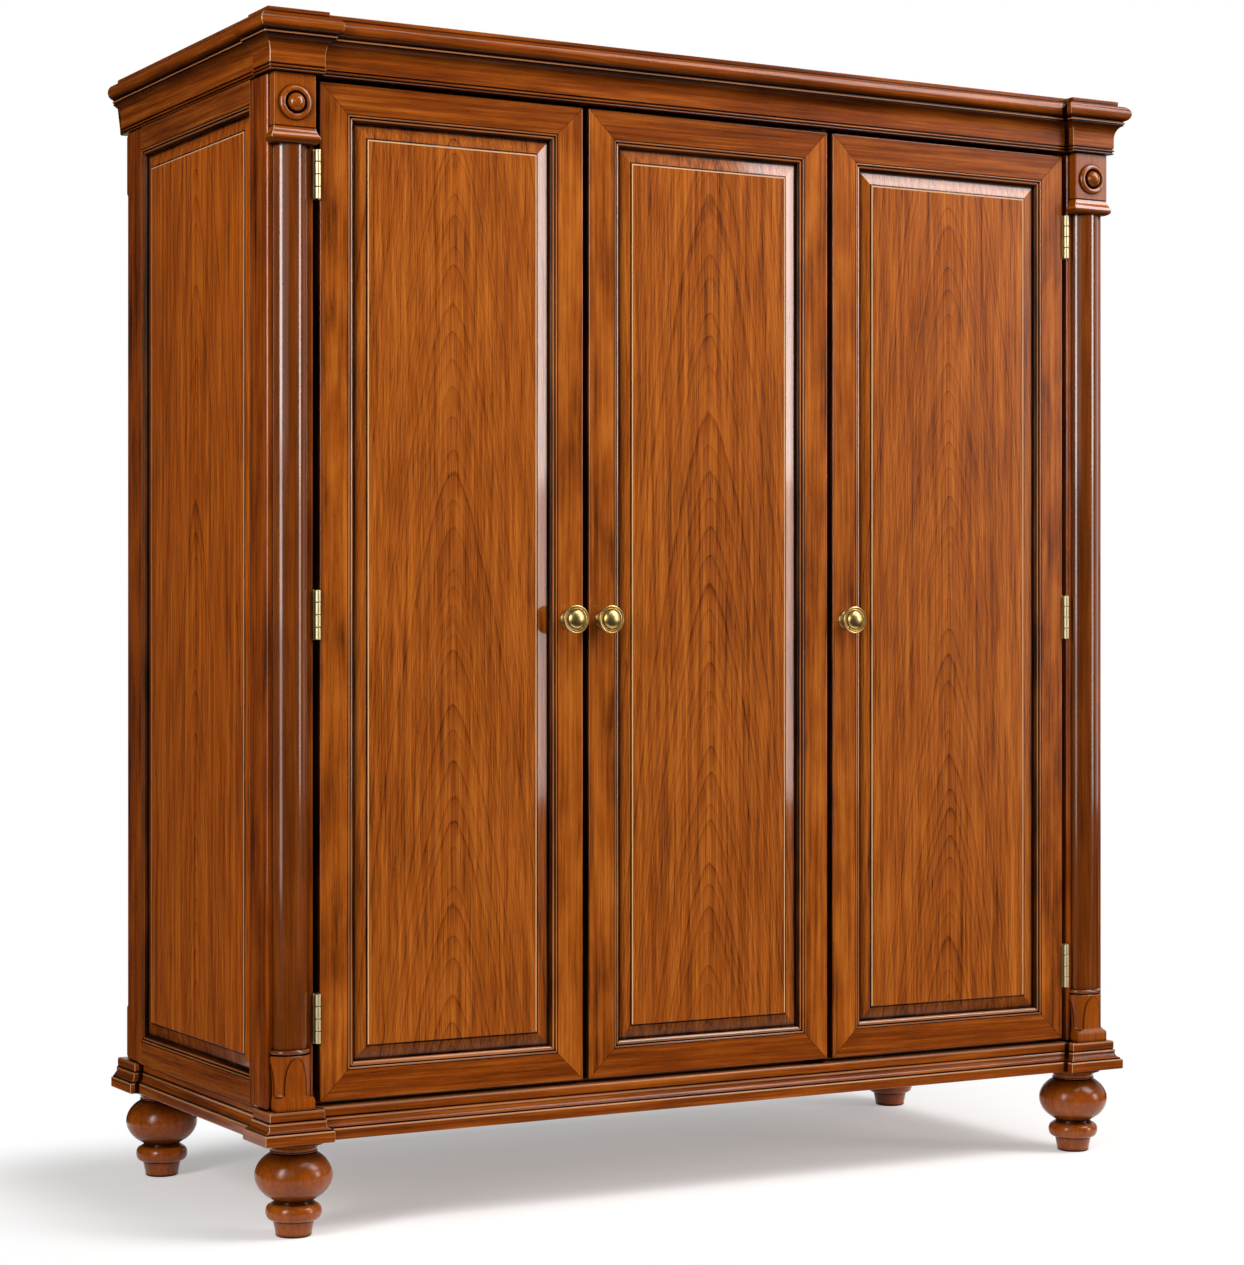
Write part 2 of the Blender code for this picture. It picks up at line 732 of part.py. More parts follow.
def shelf(name, outer, inner, bottom):
    # A shelf notched round two posts and housed in post and partition
    toward = 1 if outer > 0 else -1
    post_end = outer - toward * (post_width - dado_depth + joint_gap)
    side_end = outer - toward * (side_rail_thickness + joint_gap)
    shelf_front = inside_front + shelf_setback
    shelf_rear = back_front - joint_gap
    outline = [(inner, shelf_front), (post_end, shelf_front), (post_end, notch_front), (side_end, notch_front)]
    outline += [(side_end, notch_rear), (post_end, notch_rear), (post_end, shelf_rear), (inner, shelf_rear)]
    add_part(prism(name, [outline], bottom, bottom + shelf_thickness), "inside_wood")


shelf("hat_shelf", -half_width, partition_left + dado_depth - joint_gap, hat_shelf_height)
for name, level in zip(("shelf_lower", "shelf_upper"), right_shelf_heights):
    shelf(name, half_width, partition_right - dado_depth + joint_gap, level)

# Hanging rail on two brackets under the hat shelf
rail_level = hat_shelf_height - rail_drop
rail_y = (inside_front + back_front) / 2
rail_start = -post_inner + rail_end_space
rail_end = partition_left - rail_end_space
rail_curve = bpy.data.curves.new("hanging_rail", "CURVE")
rail_curve.dimensions = "3D"
rail_line = rail_curve.splines.new("POLY")
rail_line.points.add(1)
rail_line.points[0].co = (rail_start, rail_y, rail_level, 1)
rail_line.points[1].co = (rail_end, rail_y, rail_level, 1)
rail_curve.bevel_depth = rail_radius
rail_curve.bevel_resolution = 3
rail_curve.use_fill_caps = True
rail_tube = bpy.data.objects.new("hanging_rail", rail_curve)
bpy.context.scene.collection.objects.link(rail_tube)
rail = mesh_from_curve(rail_tube)
for polygon in rail.data.polygons:
    polygon.use_smooth = abs(polygon.normal.x) < 0.5
bracket_radius = rail_radius + bracket_wall
flange_bottom = rail_drop - bracket_wall
bracket = [(-bracket_radius, 0)]
bracket += [(-bracket_radius, flange_bottom - bracket_wall), (-bracket_flange / 2, flange_bottom)]
bracket += [(-bracket_flange / 2, rail_drop - joint_gap), (bracket_flange / 2, rail_drop - joint_gap)]
bracket += [(bracket_flange / 2, flange_bottom), (bracket_radius, flange_bottom - bracket_wall)]
bracket += arc((0, 0), (bracket_radius, bracket_radius), 0, -165, 11)
for end, x in (("left", rail_start + bracket_inset), ("right", rail_end - bracket_inset - bracket_width)):
    hanger = prism(f"rail_bracket_{end}", [bracket], 0, bracket_width)
    turn_mesh(hanger, Vector((0, 1, 0)), Vector((0, 0, 1)), Vector((1, 0, 0)), Vector((x, rail_y, rail_level)))
    combine(rail, hanger, "UNION")
add_part(rail, "steel")

# Doors: mitred frame, fielded panel and knob
door_section = arc((door_edge_round, door_edge_round), (door_edge_round, door_edge_round), 180, 270, 3)
door_section += [(frame_face, 0)] + groove_section(frame_face, door_thickness) + [(0, door_thickness)]

# Knob in shares of its radius: dome, inner ring, rim, hollow neck and rose
unit = knob_radius
rim_middle = unit * 1.1
ring_level = rim_middle + knob_ring_proud
knob_outline = arc((0, ring_level), (unit * 0.5, unit * 0.34), 90, 0, 4)
knob_outline += arc((unit * 0.66, ring_level), (unit * 0.12, unit * 0.12), 170, 0, 3)
knob_outline += arc((unit * 0.9, rim_middle), (unit * 0.1, unit * 0.17), 140, -80, 5)
knob_outline += arc((unit * 0.9, unit * 0.4), (unit * 0.54, unit * 0.48), 100, 180, 3)
knob_outline += [(unit * 0.36, unit * 0.26), (unit * 0.6, unit * 0.15)]
knob_outline += [(unit * 0.66, joint_gap), (0, joint_gap)]


def make_door(name, left, width, knob_x, axis):
    right = left + width
    members = (
        ("stile_left", (left, front, door_bottom), (1, 0, 0), (0, 0, 1), door_height),
        ("stile_right", (right, front, door_bottom), (-1, 0, 0), (0, 0, 1), door_height),
        ("rail_bottom", (left, front, door_bottom), (0, 0, 1), (1, 0, 0), width),
        ("rail_top", (left, front, door_top), (0, 0, -1), (1, 0, 0), width),
    )
    for part, origin, across, along, length in members:
        member = frame_member(f"{name}_{part}", door_section, origin, across, (0, 1, 0), along, length)
        add_part(member, "frame_wood", axis)
    inside = (width - 2 * frame_face, door_height - 2 * frame_face)
    centre = (left + width / 2, front, door_middle)
    panel = fielded_panel(f"{name}_panel", *inside, (1, 0, 0), (0, 1, 0), (0, 0, 1), centre)
    add_part(panel, "panel_wood", axis)
    knob = turned(f"{name}_knob", [knob_outline], 20)
    knob.rotation_euler.x = pi / 2
    knob.location = (knob_x, front, door_middle + knob_level)
    add_part(knob, "brass", axis)


hinge_y = front - knuckle_proud
hinge_x = post_inner - door_gap / 2
pivot_x = right_edge - door_gap - pivot_inset
pivot_y = front + pivot_inset
left_axis = joint_axis("left_door_axis", -hinge_x, hinge_y)
middle_axis = joint_axis("middle_door_axis", pivot_x, pivot_y)
right_axis = joint_axis("right_door_axis", hinge_x, hinge_y)
make_door("left_door", left_edge, pair_door_width, left_edge + pair_door_width - knob_inset, left_axis)
make_door("middle_door", middle_edge, pair_door_width, middle_edge + knob_inset, middle_axis)
make_door("right_door", right_edge, single_door_width, right_edge + knob_inset, right_axis)

# Butt hinges: the door leaf carries knuckles one and three, the post leaf two, four and the pin
knuckle_step = hinge_height / 4
leaf_start = knuckle_radius + running_clearance
bore_radius = pin_radius + running_clearance
leaf_outer = door_gap / 2 - joint_gap / 2
leaf_inner = leaf_outer - leaf_thickness


def knuckle_span(number):
    top = hinge_height / 2 - number * knuckle_step
    return top - knuckle_gap / 2, top - knuckle_step + knuckle_gap / 2


def leaf_plate(name, numbers, toward, centre):
    # Flat plate with a tab running out to each of its knuckles
    back = knuckle_proud + leaf_depth
    outline = [(back, -hinge_height / 2), (back, hinge_height / 2)]
    for number in range(4):
        top, bottom = knuckle_span(number)
        edge = 0 if number in numbers else leaf_start
        outline += [(edge, top), (edge, bottom)]
    ob = prism(name, [outline], leaf_inner, leaf_outer)
    return turn_mesh(ob, Vector((0, 1, 0)), Vector((0, 0, 1)), Vector((toward, 0, 0)), Vector(centre))


def make_hinge(name, x, level, sign, axis):
    # The sign is the side of the wardrobe: the post stands on that side of the pin
    centre = (x, hinge_y, level)
    tubes = []
    for number in (0, 2):
        top, bottom = knuckle_span(number)
        tube = [(bore_radius, top), (knuckle_radius, top), (knuckle_radius, bottom), (bore_radius, bottom)]
        tubes.append(tube)
    barrels = turned(name + "_barrels", tubes, 12, True)
    barrels.location = centre
    door_leaf = leaf_plate(name + "_door_leaf", (0, 2), -sign, centre)
    combine(door_leaf, barrels, "UNION")
    add_part(door_leaf, "brass", axis)

    spindle_line = [(0, hinge_height / 2), (pin_radius, hinge_height / 2)]
    for number in (1, 3):
        top, bottom = knuckle_span(number)
        spindle_line += [(pin_radius, top), (knuckle_radius, top), (knuckle_radius, bottom)]
        if number == 1:
            spindle_line.append((pin_radius, bottom))
    spindle_line.append((0, knuckle_span(3)[1]))
    spindle = turned(name + "_spindle", [spindle_line], 12)
    spindle.location = centre
    post_leaf = leaf_plate(name + "_post_leaf", (1, 3), sign, centre)
    combine(post_leaf, spindle, "UNION")
    add_part(post_leaf, "brass")


hinge_levels = {
    "top": door_top - hinge_from_top,
    "middle": door_middle - hinge_drop,
    "bottom": door_bottom + hinge_from_bottom,
}
for place, level in hinge_levels.items():
    make_hinge(f"left_hinge_{place}", -hinge_x, level, -1, left_axis)
    make_hinge(f"right_hinge_{place}", hinge_x, level, 1, right_axis)

# Pivots of the middle door: a plate on the door's edge with a pin into cornice or base
pivots = (
    ("top", door_top, 1, door_top_clearance, cornice),
    ("bottom", door_bottom, -1, door_bottom_clearance, base),
)
for place, edge, up, clearance, holder in pivots:
    tip = clearance + pivot_pin_depth
    shoulder = clearance - joint_gap
    line = [(0, tip), (pivot_pin_radius, tip), (pivot_pin_radius, shoulder), (pivot_collar_radius, shoulder)]
    line += [(pivot_collar_radius, pivot_plate_thickness / 2), (0, pivot_plate_thickness / 2)]
    pin = turned(f"pivot_pin_{place}", [line], 16)
    pin.location = (pivot_x, pivot_y, edge)
    pin.rotation_euler.x = 0 if up > 0 else pi
    levels = sorted((edge + up * joint_gap, edge + up * pivot_plate_thickness))
    plate_end = pivot_x + pivot_plate_width / 2
    plate_low = (plate_end - pivot_plate_length, pivot_y - pivot_plate_width / 2, levels[0])
    plate_high = (plate_end, pivot_y + pivot_plate_width / 2, levels[1])
    pivot = box(f"middle_door_pivot_{place}", plate_low, plate_high)
    combine(pivot, pin, "UNION")
    add_part(pivot, "brass", middle_axis)
    hole_radius = pivot_pin_radius + running_clearance
    hole_depth = pivot_pin_depth + lip_edge
    hole_line = [(0, clearance + hole_depth), (hole_radius, clearance + hole_depth)]
    hole_line += [(hole_radius, 0), (0, 0)]
    hole = turned(f"pivot_hole_{place}", [hole_line], 16)
    hole.location = (pivot_x, pivot_y, edge)
    hole.rotation_euler.x = pin.rotation_euler.x
    combine(holder, hole, "DIFFERENCE")
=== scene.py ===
from functools import partial
from itertools import product
import json
from math import acos, copysign, cos, degrees, pi, radians, sin, sqrt
from types import SimpleNamespace as Values
import bmesh
import bpy
from mathutils import Matrix, Vector

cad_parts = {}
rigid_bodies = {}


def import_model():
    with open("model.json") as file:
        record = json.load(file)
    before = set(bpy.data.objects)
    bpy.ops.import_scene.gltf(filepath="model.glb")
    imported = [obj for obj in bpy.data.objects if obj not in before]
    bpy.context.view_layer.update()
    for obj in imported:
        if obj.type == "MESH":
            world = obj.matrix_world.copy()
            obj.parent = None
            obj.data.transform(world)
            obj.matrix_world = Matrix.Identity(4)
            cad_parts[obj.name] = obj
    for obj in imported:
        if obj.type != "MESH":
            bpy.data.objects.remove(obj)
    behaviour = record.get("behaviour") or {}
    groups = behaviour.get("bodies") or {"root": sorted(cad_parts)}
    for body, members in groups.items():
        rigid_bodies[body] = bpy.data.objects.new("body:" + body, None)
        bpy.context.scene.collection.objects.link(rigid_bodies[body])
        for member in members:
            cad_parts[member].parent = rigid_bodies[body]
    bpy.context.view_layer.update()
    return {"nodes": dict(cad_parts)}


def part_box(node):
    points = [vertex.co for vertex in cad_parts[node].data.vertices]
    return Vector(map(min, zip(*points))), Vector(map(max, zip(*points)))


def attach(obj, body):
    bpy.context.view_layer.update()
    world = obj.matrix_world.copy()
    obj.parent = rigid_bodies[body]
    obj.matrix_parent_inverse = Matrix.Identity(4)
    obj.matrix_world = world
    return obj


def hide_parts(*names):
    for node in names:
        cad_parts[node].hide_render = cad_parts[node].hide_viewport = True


for old in list(bpy.data.objects):
    bpy.data.objects.remove(old)
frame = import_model()
scene = bpy.context.scene
mm = 0.001
right, back, up = Vector((1, 0, 0)), Vector((0, 1, 0)), Vector((0, 0, 1))
print("frame loaded")


# Small helpers for colours, nodes, section lines and boxes
def hexToLinear(code):
    parts = [int(code[i:i + 2], 16) / 255 for i in (1, 3, 5)]
    return tuple(p / 12.92 if p <= 0.04045 else ((p + 0.055) / 1.055) ** 2.4 for p in parts) + (1.0,)


def plug(node, inputs):
    # inputs are named in a dictionary, or listed in the node's own order
    for key, value in inputs.items() if isinstance(inputs, dict) else enumerate(inputs):
        if isinstance(value, str):
            value = hexToLinear(value)
        if isinstance(value, bpy.types.Node):
            value = value.outputs[2 if value.bl_idname == "ShaderNodeMix" else 0]  # a mix's third is colour
        if isinstance(value, bpy.types.NodeSocket):
            node.id_data.links.new(value, node.inputs[key])
        else:
            node.inputs[key].default_value = value


def addNode(tree, kind, inputs=(), operation=None, **settings):
    node = tree.nodes.new("ShaderNode" + kind)
    if operation:
        node.operation = operation
    for name, value in settings.items():
        setattr(node, name, value)
    plug(node, inputs)
    return node


def newMaterial(name):
    material = bpy.data.materials.new(name)
    material.use_nodes = True
    tree = material.node_tree
    return material, tree.nodes["Principled BSDF"], partial(addNode, tree)


def arc(centre, radii, start, end, steps, glazeAndPaintedLight=0.0):
    # points of a circle or an ellipse between two angles in degrees, each with its share of dark glaze and
    # painted shade, or below nought of painted highlight
    wide, tall = radii if isinstance(radii, tuple) else (radii, radii)
    points = []
    for i in range(steps + 1):
        angle = radians(start + (end - start) * i / steps)
        points.append((centre[0] + wide * cos(angle), centre[1] + tall * sin(angle), glazeAndPaintedLight))
    return points


def moved(line, x, z):
    return [(x + a, z + b, glazeAndPaintedLight) for a, b, glazeAndPaintedLight in line]


def spanOf(node):
    low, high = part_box(node)
    return (low + high) / 2, high - low


def around(count):
    # numbers of neighbouring corners round a ring
    return [(k, (k + 1) % count) for k in range(count)]


def boxOf(*names):
    boxes = [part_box(name) for name in names]
    low = Vector([min(b[0][i] for b in boxes) for i in range(3)])
    high = Vector([max(b[1][i] for b in boxes) for i in range(3)])
    return low, high


# Lacquered cherry: brown stain and dark glaze under a glossy lacquer, with painted shade and painted
# highlights in its colour.
# The eye sees soft growth lines, short pores, cloudy stain, dark glaze and painted shade in every quirk,
# painted pale arrises and sharp highlights.
# Stain is pale, middle and deep. Tones are the strengths of growth lines, fibre, band, cloud and vein.
# Ring and wander are millimetres, and so are the bow and tip of the panels' arches.
# Uneven and ripple are years, slope and lean tilt the rings, vein is a thin slice of its noise.
cherry = dict(ring=9, bow=0, wander=12, slope=0.8, lean=0.02, uneven=1.6, ripple=0.22,
              pore=0.16, vein=0.022, gloss=0.26, polish=0.06, coat=1.0)
looks = {
    "panel": dict(stain=("#C87024", "#A04F15", "#421A07"), tones=(0.34, 1.35, 0.9, 0.35, 0.2),
                  ring=46, bow=60, tip=14, flank=2.4, wander=7),
    "stile": dict(stain=("#C56E22", "#9F4E12", "#3C1604"), tones=(0.16, 0.9, 1.0, 1.3, 0.08),
                  ring=11, wander=14),
    "rail": dict(stain=("#B4601A", "#873D0A", "#2F1003"), tones=(0.18, 0.9, 0.9, 0.6, 0.08)),
    "turned": dict(stain=("#C46A18", "#96470A", "#351203"), tones=(0.08, 0.5, 0.35, 0.35, 0.08),
                   gloss=0.24, polish=0.2, coat=0.55),
    # the column stain is a darker copy of the turned one: painted shade for the columns' body
    "column": dict(stain=("#A2531A", "#75370C", "#2B0E02"), tones=(0.1, 0.6, 0.5, 0.5, 0.08),
                   gloss=0.24, polish=0.09),
    "inside": dict(stain=("#C08A55", "#A06A3A", "#6A3D1C"), tones=(0.3, 1.0, 0.6, 0.5, 0.08),
                   ring=8, gloss=0.45),
}
# each noise's size across, through and along the grain in millimetres, its detail and its roughness
grainNoises = {
    "wander": ((90, 200, 260), 2.0, 0.5),
    "ripple": ((9, 60, 60), 3.0, 0.5),
    "fibre": ((2.2, 2.2, 110), 4.0, 0.65),  # fibres are really 0.3 mm wide and are drawn wider to show
    "speck": ((0.9, 0.9, 9), 1.0, 0.5),
    "band": ((9, 9, 380), 2.0, 0.5),
    "cloud": ((50, 50, 170), 3.0, 0.55),
    "vein": ((7, 7, 190), 1.5, 0.5),
}
lateWood = ((0.5, 0.08), (0.78, 0.36), (0.86, 0.5), (0.93, 1), (0.965, 0.9))  # through one year


def lacqueredCherry(name, kind, along=None, **changes):
    material, shader, add = newMaterial(name)
    look = Values(**{**cherry, **looks[kind], **changes})
    lines, fibre, band, cloud, veins = look.tones
    pale, middle, deep = (hexToLinear(code) for code in look.stain)
    if along:  # plain boards take their grain from the solid
        solid = add("TexCoord").outputs["Object"]
        place = add("Mapping", {"Vector": solid, "Rotation": {"x": (0, pi / 2, 0), "z": (0, 0, 0)}[along]})
    else:
        place = add("Attribute", attribute_name="grain").outputs["Vector"]
    noise = {}
    for label, (sizes, detail, roughness) in grainNoises.items():
        spread = add("Mapping", {"Vector": place, "Scale": [1 / (s * mm) for s in sizes]})
        settings = {"Vector": spread, "Scale": 1.0, "Detail": detail, "Roughness": roughness}
        noise[label] = add("TexNoise", settings)

    # growth lines: wandering across the board, arched on the panels
    axes = add("SeparateXYZ", [place]).outputs
    shift = add("Math", [noise["wander"], 0.5], "SUBTRACT")
    across = add("Math", [shift, 2 * look.wander * mm, axes["X"]], "MULTIPLY_ADD")
    if look.bow:
        square = add("Math", [across, across], "MULTIPLY")
        bowed = add("Math", [square, 1 / (look.bow * mm), axes["Z"]], "MULTIPLY_ADD")
        blunt = add("Math", [square, (look.tip * mm) ** 2], "ADD")
        flank = add("Math", [blunt], "SQRT")
        line = add("Math", [flank, look.flank, bowed], "MULTIPLY_ADD")
    else:
        tilted = add("Math", [axes["Y"], look.slope, across], "MULTIPLY_ADD")
        line = add("Math", [axes["Z"], look.lean, tilted], "MULTIPLY_ADD")
    years = add("Math", [line, 1 / (look.ring * mm)], "MULTIPLY")
    uneven = add("TexNoise", {"W": years, "Scale": 0.7, "Detail": 1.0}, noise_dimensions="1D")
    years = add("Math", [uneven, look.uneven, years], "MULTIPLY_ADD")
    rings = add("Math", [noise["ripple"], look.ripple, years], "MULTIPLY_ADD")
    turn = add("Math", [rings], "FRACT")
    late = add("ValToRGB", [turn])
    stops = late.color_ramp.elements
    stops[1].color = (0, 0, 0, 1)
    for position, level in lateWood:
        stops.new(position).color = (level, level, level, 1)
    count = add("Math", [rings], "FLOOR")
    yearly = add("TexWhiteNoise", {"W": count}, noise_dimensions="1D")
    strength = add("MapRange", {"Value": yearly, "To Min": 0.35, "To Max": 1.0})
    ringTone = add("Math", [late, strength], "MULTIPLY")

    # fibres, bands, cloudy stain, pores and thin dark veins on top of the growth lines
    pores = add("MapRange", {"Value": noise["speck"], "From Min": 0.62, "From Max": 0.74})
    vein = add("Math", [noise["vein"], 0.5, look.vein], "COMPARE")
    vein = add("Math", [vein, noise["fibre"]], "MULTIPLY")
    tone = add("Math", [ringTone, lines, 0.5 - lines * 0.3], "MULTIPLY_ADD")
    for label, weight in (("fibre", fibre), ("band", band), ("cloud", cloud)):
        swing = add("Math", [noise[label], 0.5], "SUBTRACT")
        tone = add("Math", [swing, weight, tone], "MULTIPLY_ADD")
    tone = add("Math", [pores, look.pore, tone], "MULTIPLY_ADD")
    tone = add("Math", [vein, veins, tone], "MULTIPLY_ADD")
    stain = add("ValToRGB", [tone])
    stops = stain.color_ramp.elements
    stops[0].position, stops[1].position = 0.12, 0.98
    stops[0].color, stops[1].color = pale, deep
    stops.new(0.5).color = middle
    coat = look.coat
    if not along:
        # below nought the stain is painted pale along the arrises: a painted highlight
        glazeAndPaintedLight = add("Attribute", attribute_name="glazeAndPaintedLight").outputs["Fac"]
        paintedHighlight = add("Math", [glazeAndPaintedLight, -1.0], "MULTIPLY", use_clamp=True)
        stain = add("Mix", {0: paintedHighlight, 6: stain, 7: "#EDBE8C"}, data_type="RGBA")
        patch = add("MapRange", {"Value": noise["cloud"], "From Min": 0.3, "From Max": 0.7, "To Min": 0.82})
        glazeAndShade = add("Math", [glazeAndPaintedLight, patch], "MULTIPLY", use_clamp=True)
        # painted shade: ambient occlusion darkens the last few millimetres where pieces meet
        corner = add("AmbientOcclusion", {"Distance": 8 * mm}, samples=6).outputs["AO"]
        reach = {"Value": corner, "From Min": 0.62, "From Max": 0.86, "To Min": 1.0, "To Max": 0.0}
        jointShade = add("MapRange", reach)
        glazeAndShade = add("Math", [glazeAndShade, jointShade], "MAXIMUM")
        # the dark colour is glaze and also painted shade in the quirks, corners and joints
        stain = add("Mix", {0: glazeAndShade, 6: stain, 7: "#0E0401"}, data_type="RGBA")
        # the lacquer left in the glaze and painted shade is thin, so the quirks stay dull
        coat = add("Math", [glazeAndShade, -coat, coat], "MULTIPLY_ADD", use_clamp=True)
    gloss = look.gloss
    sheen = add("MapRange", {"Value": noise["fibre"], "To Min": gloss - 0.05, "To Max": gloss + 0.06})
    relief = add("Math", [noise["fibre"], pores], "SUBTRACT")
    bump = add("Bump", {"Strength": 0.12, "Distance": 0.15 * mm, "Height": relief})
    plug(shader, {"Base Color": stain, "Roughness": sheen, "Normal": bump, "IOR": 1.5,
                  "Specular IOR Level": 0.1, "Coat Weight": coat, "Coat Roughness": look.polish})
    return material


# Polished brass under lacquer: pale gold, soft scratches, brown tarnish left in the grooves
def polishedBrass(name, bright, dull, gloss=0.14):
    material, shader, add = newMaterial(name)
    place = add("TexCoord").outputs["Object"]
    tarnish = add("Attribute", attribute_name="glazeAndPaintedLight").outputs["Fac"]
    spots = add("TexNoise", {"Vector": place, "Scale": 1 / (6 * mm), "Detail": 3.0})
    metal = add("Mix", {0: spots, 6: bright, 7: dull}, data_type="RGBA")
    metal = add("Mix", {0: tarnish, 6: metal, 7: "#2A1706"}, data_type="RGBA")
    scratch = add("TexNoise", {"Vector": place, "Scale": 1 / (1.5 * mm), "Detail": 4.0})
    smooth = add("MapRange", {"Value": scratch, "To Min": gloss, "To Max": gloss + 0.14})
    bump = add("Bump", {"Strength": 0.05, "Distance": 0.1 * mm, "Height": scratch})
    plug(shader, {"Base Color": metal, "Roughness": smooth, "Normal": bump, "Metallic": 1.0})
    return material


# Brushed steel tube: fine lines round the rail give a broken, satin reflection
def brushedSteel(name):
    material, shader, add = newMaterial(name)
    solid = add("TexCoord").outputs["Object"]
    place = add("Mapping", {"Vector": solid, "Scale": [1 / (s * mm) for s in (0.6, 12, 12)]})
    lines = add("TexNoise", {"Vector": place, "Scale": 1.0, "Detail": 2.0})
    metal = add("Mix", {0: lines, 6: "#9C9C9A", 7: "#C6C6C4"}, data_type="RGBA")
    smooth = add("MapRange", {"Value": lines, "To Min": 0.22, "To Max": 0.38})
    plug(shader, {"Base Color": metal, "Roughness": smooth, "Metallic": 1.0})
    return material


panelCherry = lacqueredCherry("lacquered cherry panel", "panel")
stileCherry = lacqueredCherry("lacquered cherry stile", "stile")
railCherry = lacqueredCherry("lacquered cherry rail", "rail")
turnedCherry = lacqueredCherry("lacquered cherry turning", "turned")
bossCherry = lacqueredCherry("polished cherry carving", "turned", polish=0.05, coat=1.0)
mouldedCherry = lacqueredCherry("lacquered cherry moulding", "rail", coat=0.35)
shadedColumnCherry = lacqueredCherry("lacquered cherry column", "column")
postCherry = lacqueredCherry("lacquered cherry post", "stile", stain=("#AF5610", "#8D3D07", "#340F01"))
# the side panels take a brighter, more orange copy of the panel stain: painted light for the lamp-lit sides
litSideStain = ("#D8731C", "#AE5110", "#491B05")
litSidePanelCherry = lacqueredCherry("lacquered cherry side panel", "panel", stain=litSideStain)
insideUpright = lacqueredCherry("satin cherry upright board", "inside", "z")
insideLying = lacqueredCherry("satin cherry lying board", "inside", "x")
topCherry = lacqueredCherry("lacquered cherry top", "rail", "x")
brass = polishedBrass("polished brass", "#F6EBC4", "#E6D092", 0.42)
knobBrass = polishedBrass("satin brass", "#E8CB8A", "#CDA85C", 0.28)
darkBrass = polishedBrass("blackened brass", "#2C241A", "#1A140E")  # it hides in the door gap
steel = brushedSteel("brushed steel")
print("materials made")


# Mesh helpers: a corner of a face is its vertex, where it lies in the board (grain) and its share of glaze
# and painted shade, or below nought of painted highlight
def newShape():
    bm = bmesh.new()
    bm.loops.layers.float_vector.new("grain")
    bm.loops.layers.float.new("glazeAndPaintedLight")
    return bm


def layersOf(bm):
    return bm.loops.layers.float_vector["grain"], bm.loops.layers.float["glazeAndPaintedLight"]


def addFace(bm, corners):
    grainLayer, glazeAndLightLayer = layersOf(bm)
    face = bm.faces.new([vert for vert, _, _ in corners])
    for loop, (_, grain, glazeAndPaintedLight) in zip(face.loops, corners):
        loop[grainLayer] = grain
        loop[glazeAndLightLayer] = glazeAndPaintedLight
    return face


def addObject(name, bm):
    mesh = bpy.data.meshes.new(name)
    bm.to_mesh(mesh)
    bm.free()
    item = bpy.data.objects.new(name, mesh)
    scene.collection.objects.link(item)
    return item


def softenEdges(item, width):
    soften = item.modifiers.new("soft edges", "BEVEL")
    soften.width = width * mm
    soften.segments = 2
    soften.limit_method = "ANGLE"
    soften.angle_limit = radians(40)


def addPiece(name, bm, finish, stands=(), edge=0.5, sharp=16, body="carcase"):
    bmesh.ops.recalc_face_normals(bm, faces=bm.faces)
    for face in bm.faces:
        face.smooth = True
    for line in bm.edges:
        if line.is_manifold and line.calc_face_angle() > radians(sharp):
            line.smooth = False
    piece = addObject(name, bm)
    piece.data.materials.append(finish)
    if edge:
        softenEdges(piece, edge)
        piece.modifiers.new("flat faces", "WEIGHTED_NORMAL").keep_sharp = True
    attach(piece, body)
    if stands:
        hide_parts(*stands)
    return piece


def addBlock(bm, low, high, along="z", seed=0.0):
    # a squared block with its grain along one axis
    order = {"x": (1, 2, 0), "y": (0, 2, 1), "z": (0, 1, 2)}[along]
    corners = []
    for spot in product(*zip(low, high)):
        grain = Vector([spot[i] for i in order]) + Vector((seed, seed, -seed))
        corners.append((bm.verts.new(spot), grain, 0))
    for ids in ((0, 1, 3, 2), (4, 6, 7, 5), (0, 4, 5, 1), (2, 3, 7, 6), (0, 2, 6, 4), (1, 5, 7, 3)):
        addFace(bm, [corners[i] for i in ids])
    return bm


mitre = dict(gap=0.4, glazeAndPaintedLight=0.6)  # each end stops short, so a dark line shows at the mitre


def addMember(bm, section, origin, across, depth, along, length, seed):
    # a moulded length sawn at 45 degrees at both ends
    ends = []
    for end in (0, 1):
        corners = []
        for a, d, glazeAndPaintedLight in section:
            run = (a + mitre["gap"]) * mm if end == 0 else length - (a + mitre["gap"]) * mm
            spot = Vector(origin) + across * a * mm + depth * d * mm + along * run
            corners.append((bm.verts.new(spot), Vector((a * mm + seed, d * mm + seed, run - seed)), glazeAndPaintedLight))
        ends.append(corners)
    start, end = ends
    for k, n in around(len(section)):
        addFace(bm, [start[k], start[n], end[n], end[k]])
    caps = [addFace(bm, [(vert, grain, mitre["glazeAndPaintedLight"]) for vert, grain, _ in corners]) for corners in ends]
    bmesh.ops.triangulate(bm, faces=caps)
    return bm


# corners of a moulding: the arris chamfer and its painted highlight, the reach of painted shade in an inner
# corner, its largest share of a step, and the grain's shift at each corner
turns = dict(arris=1.0, paintedHighlight=-0.55, shade=6.0, room=0.45, boardStep=0.173)


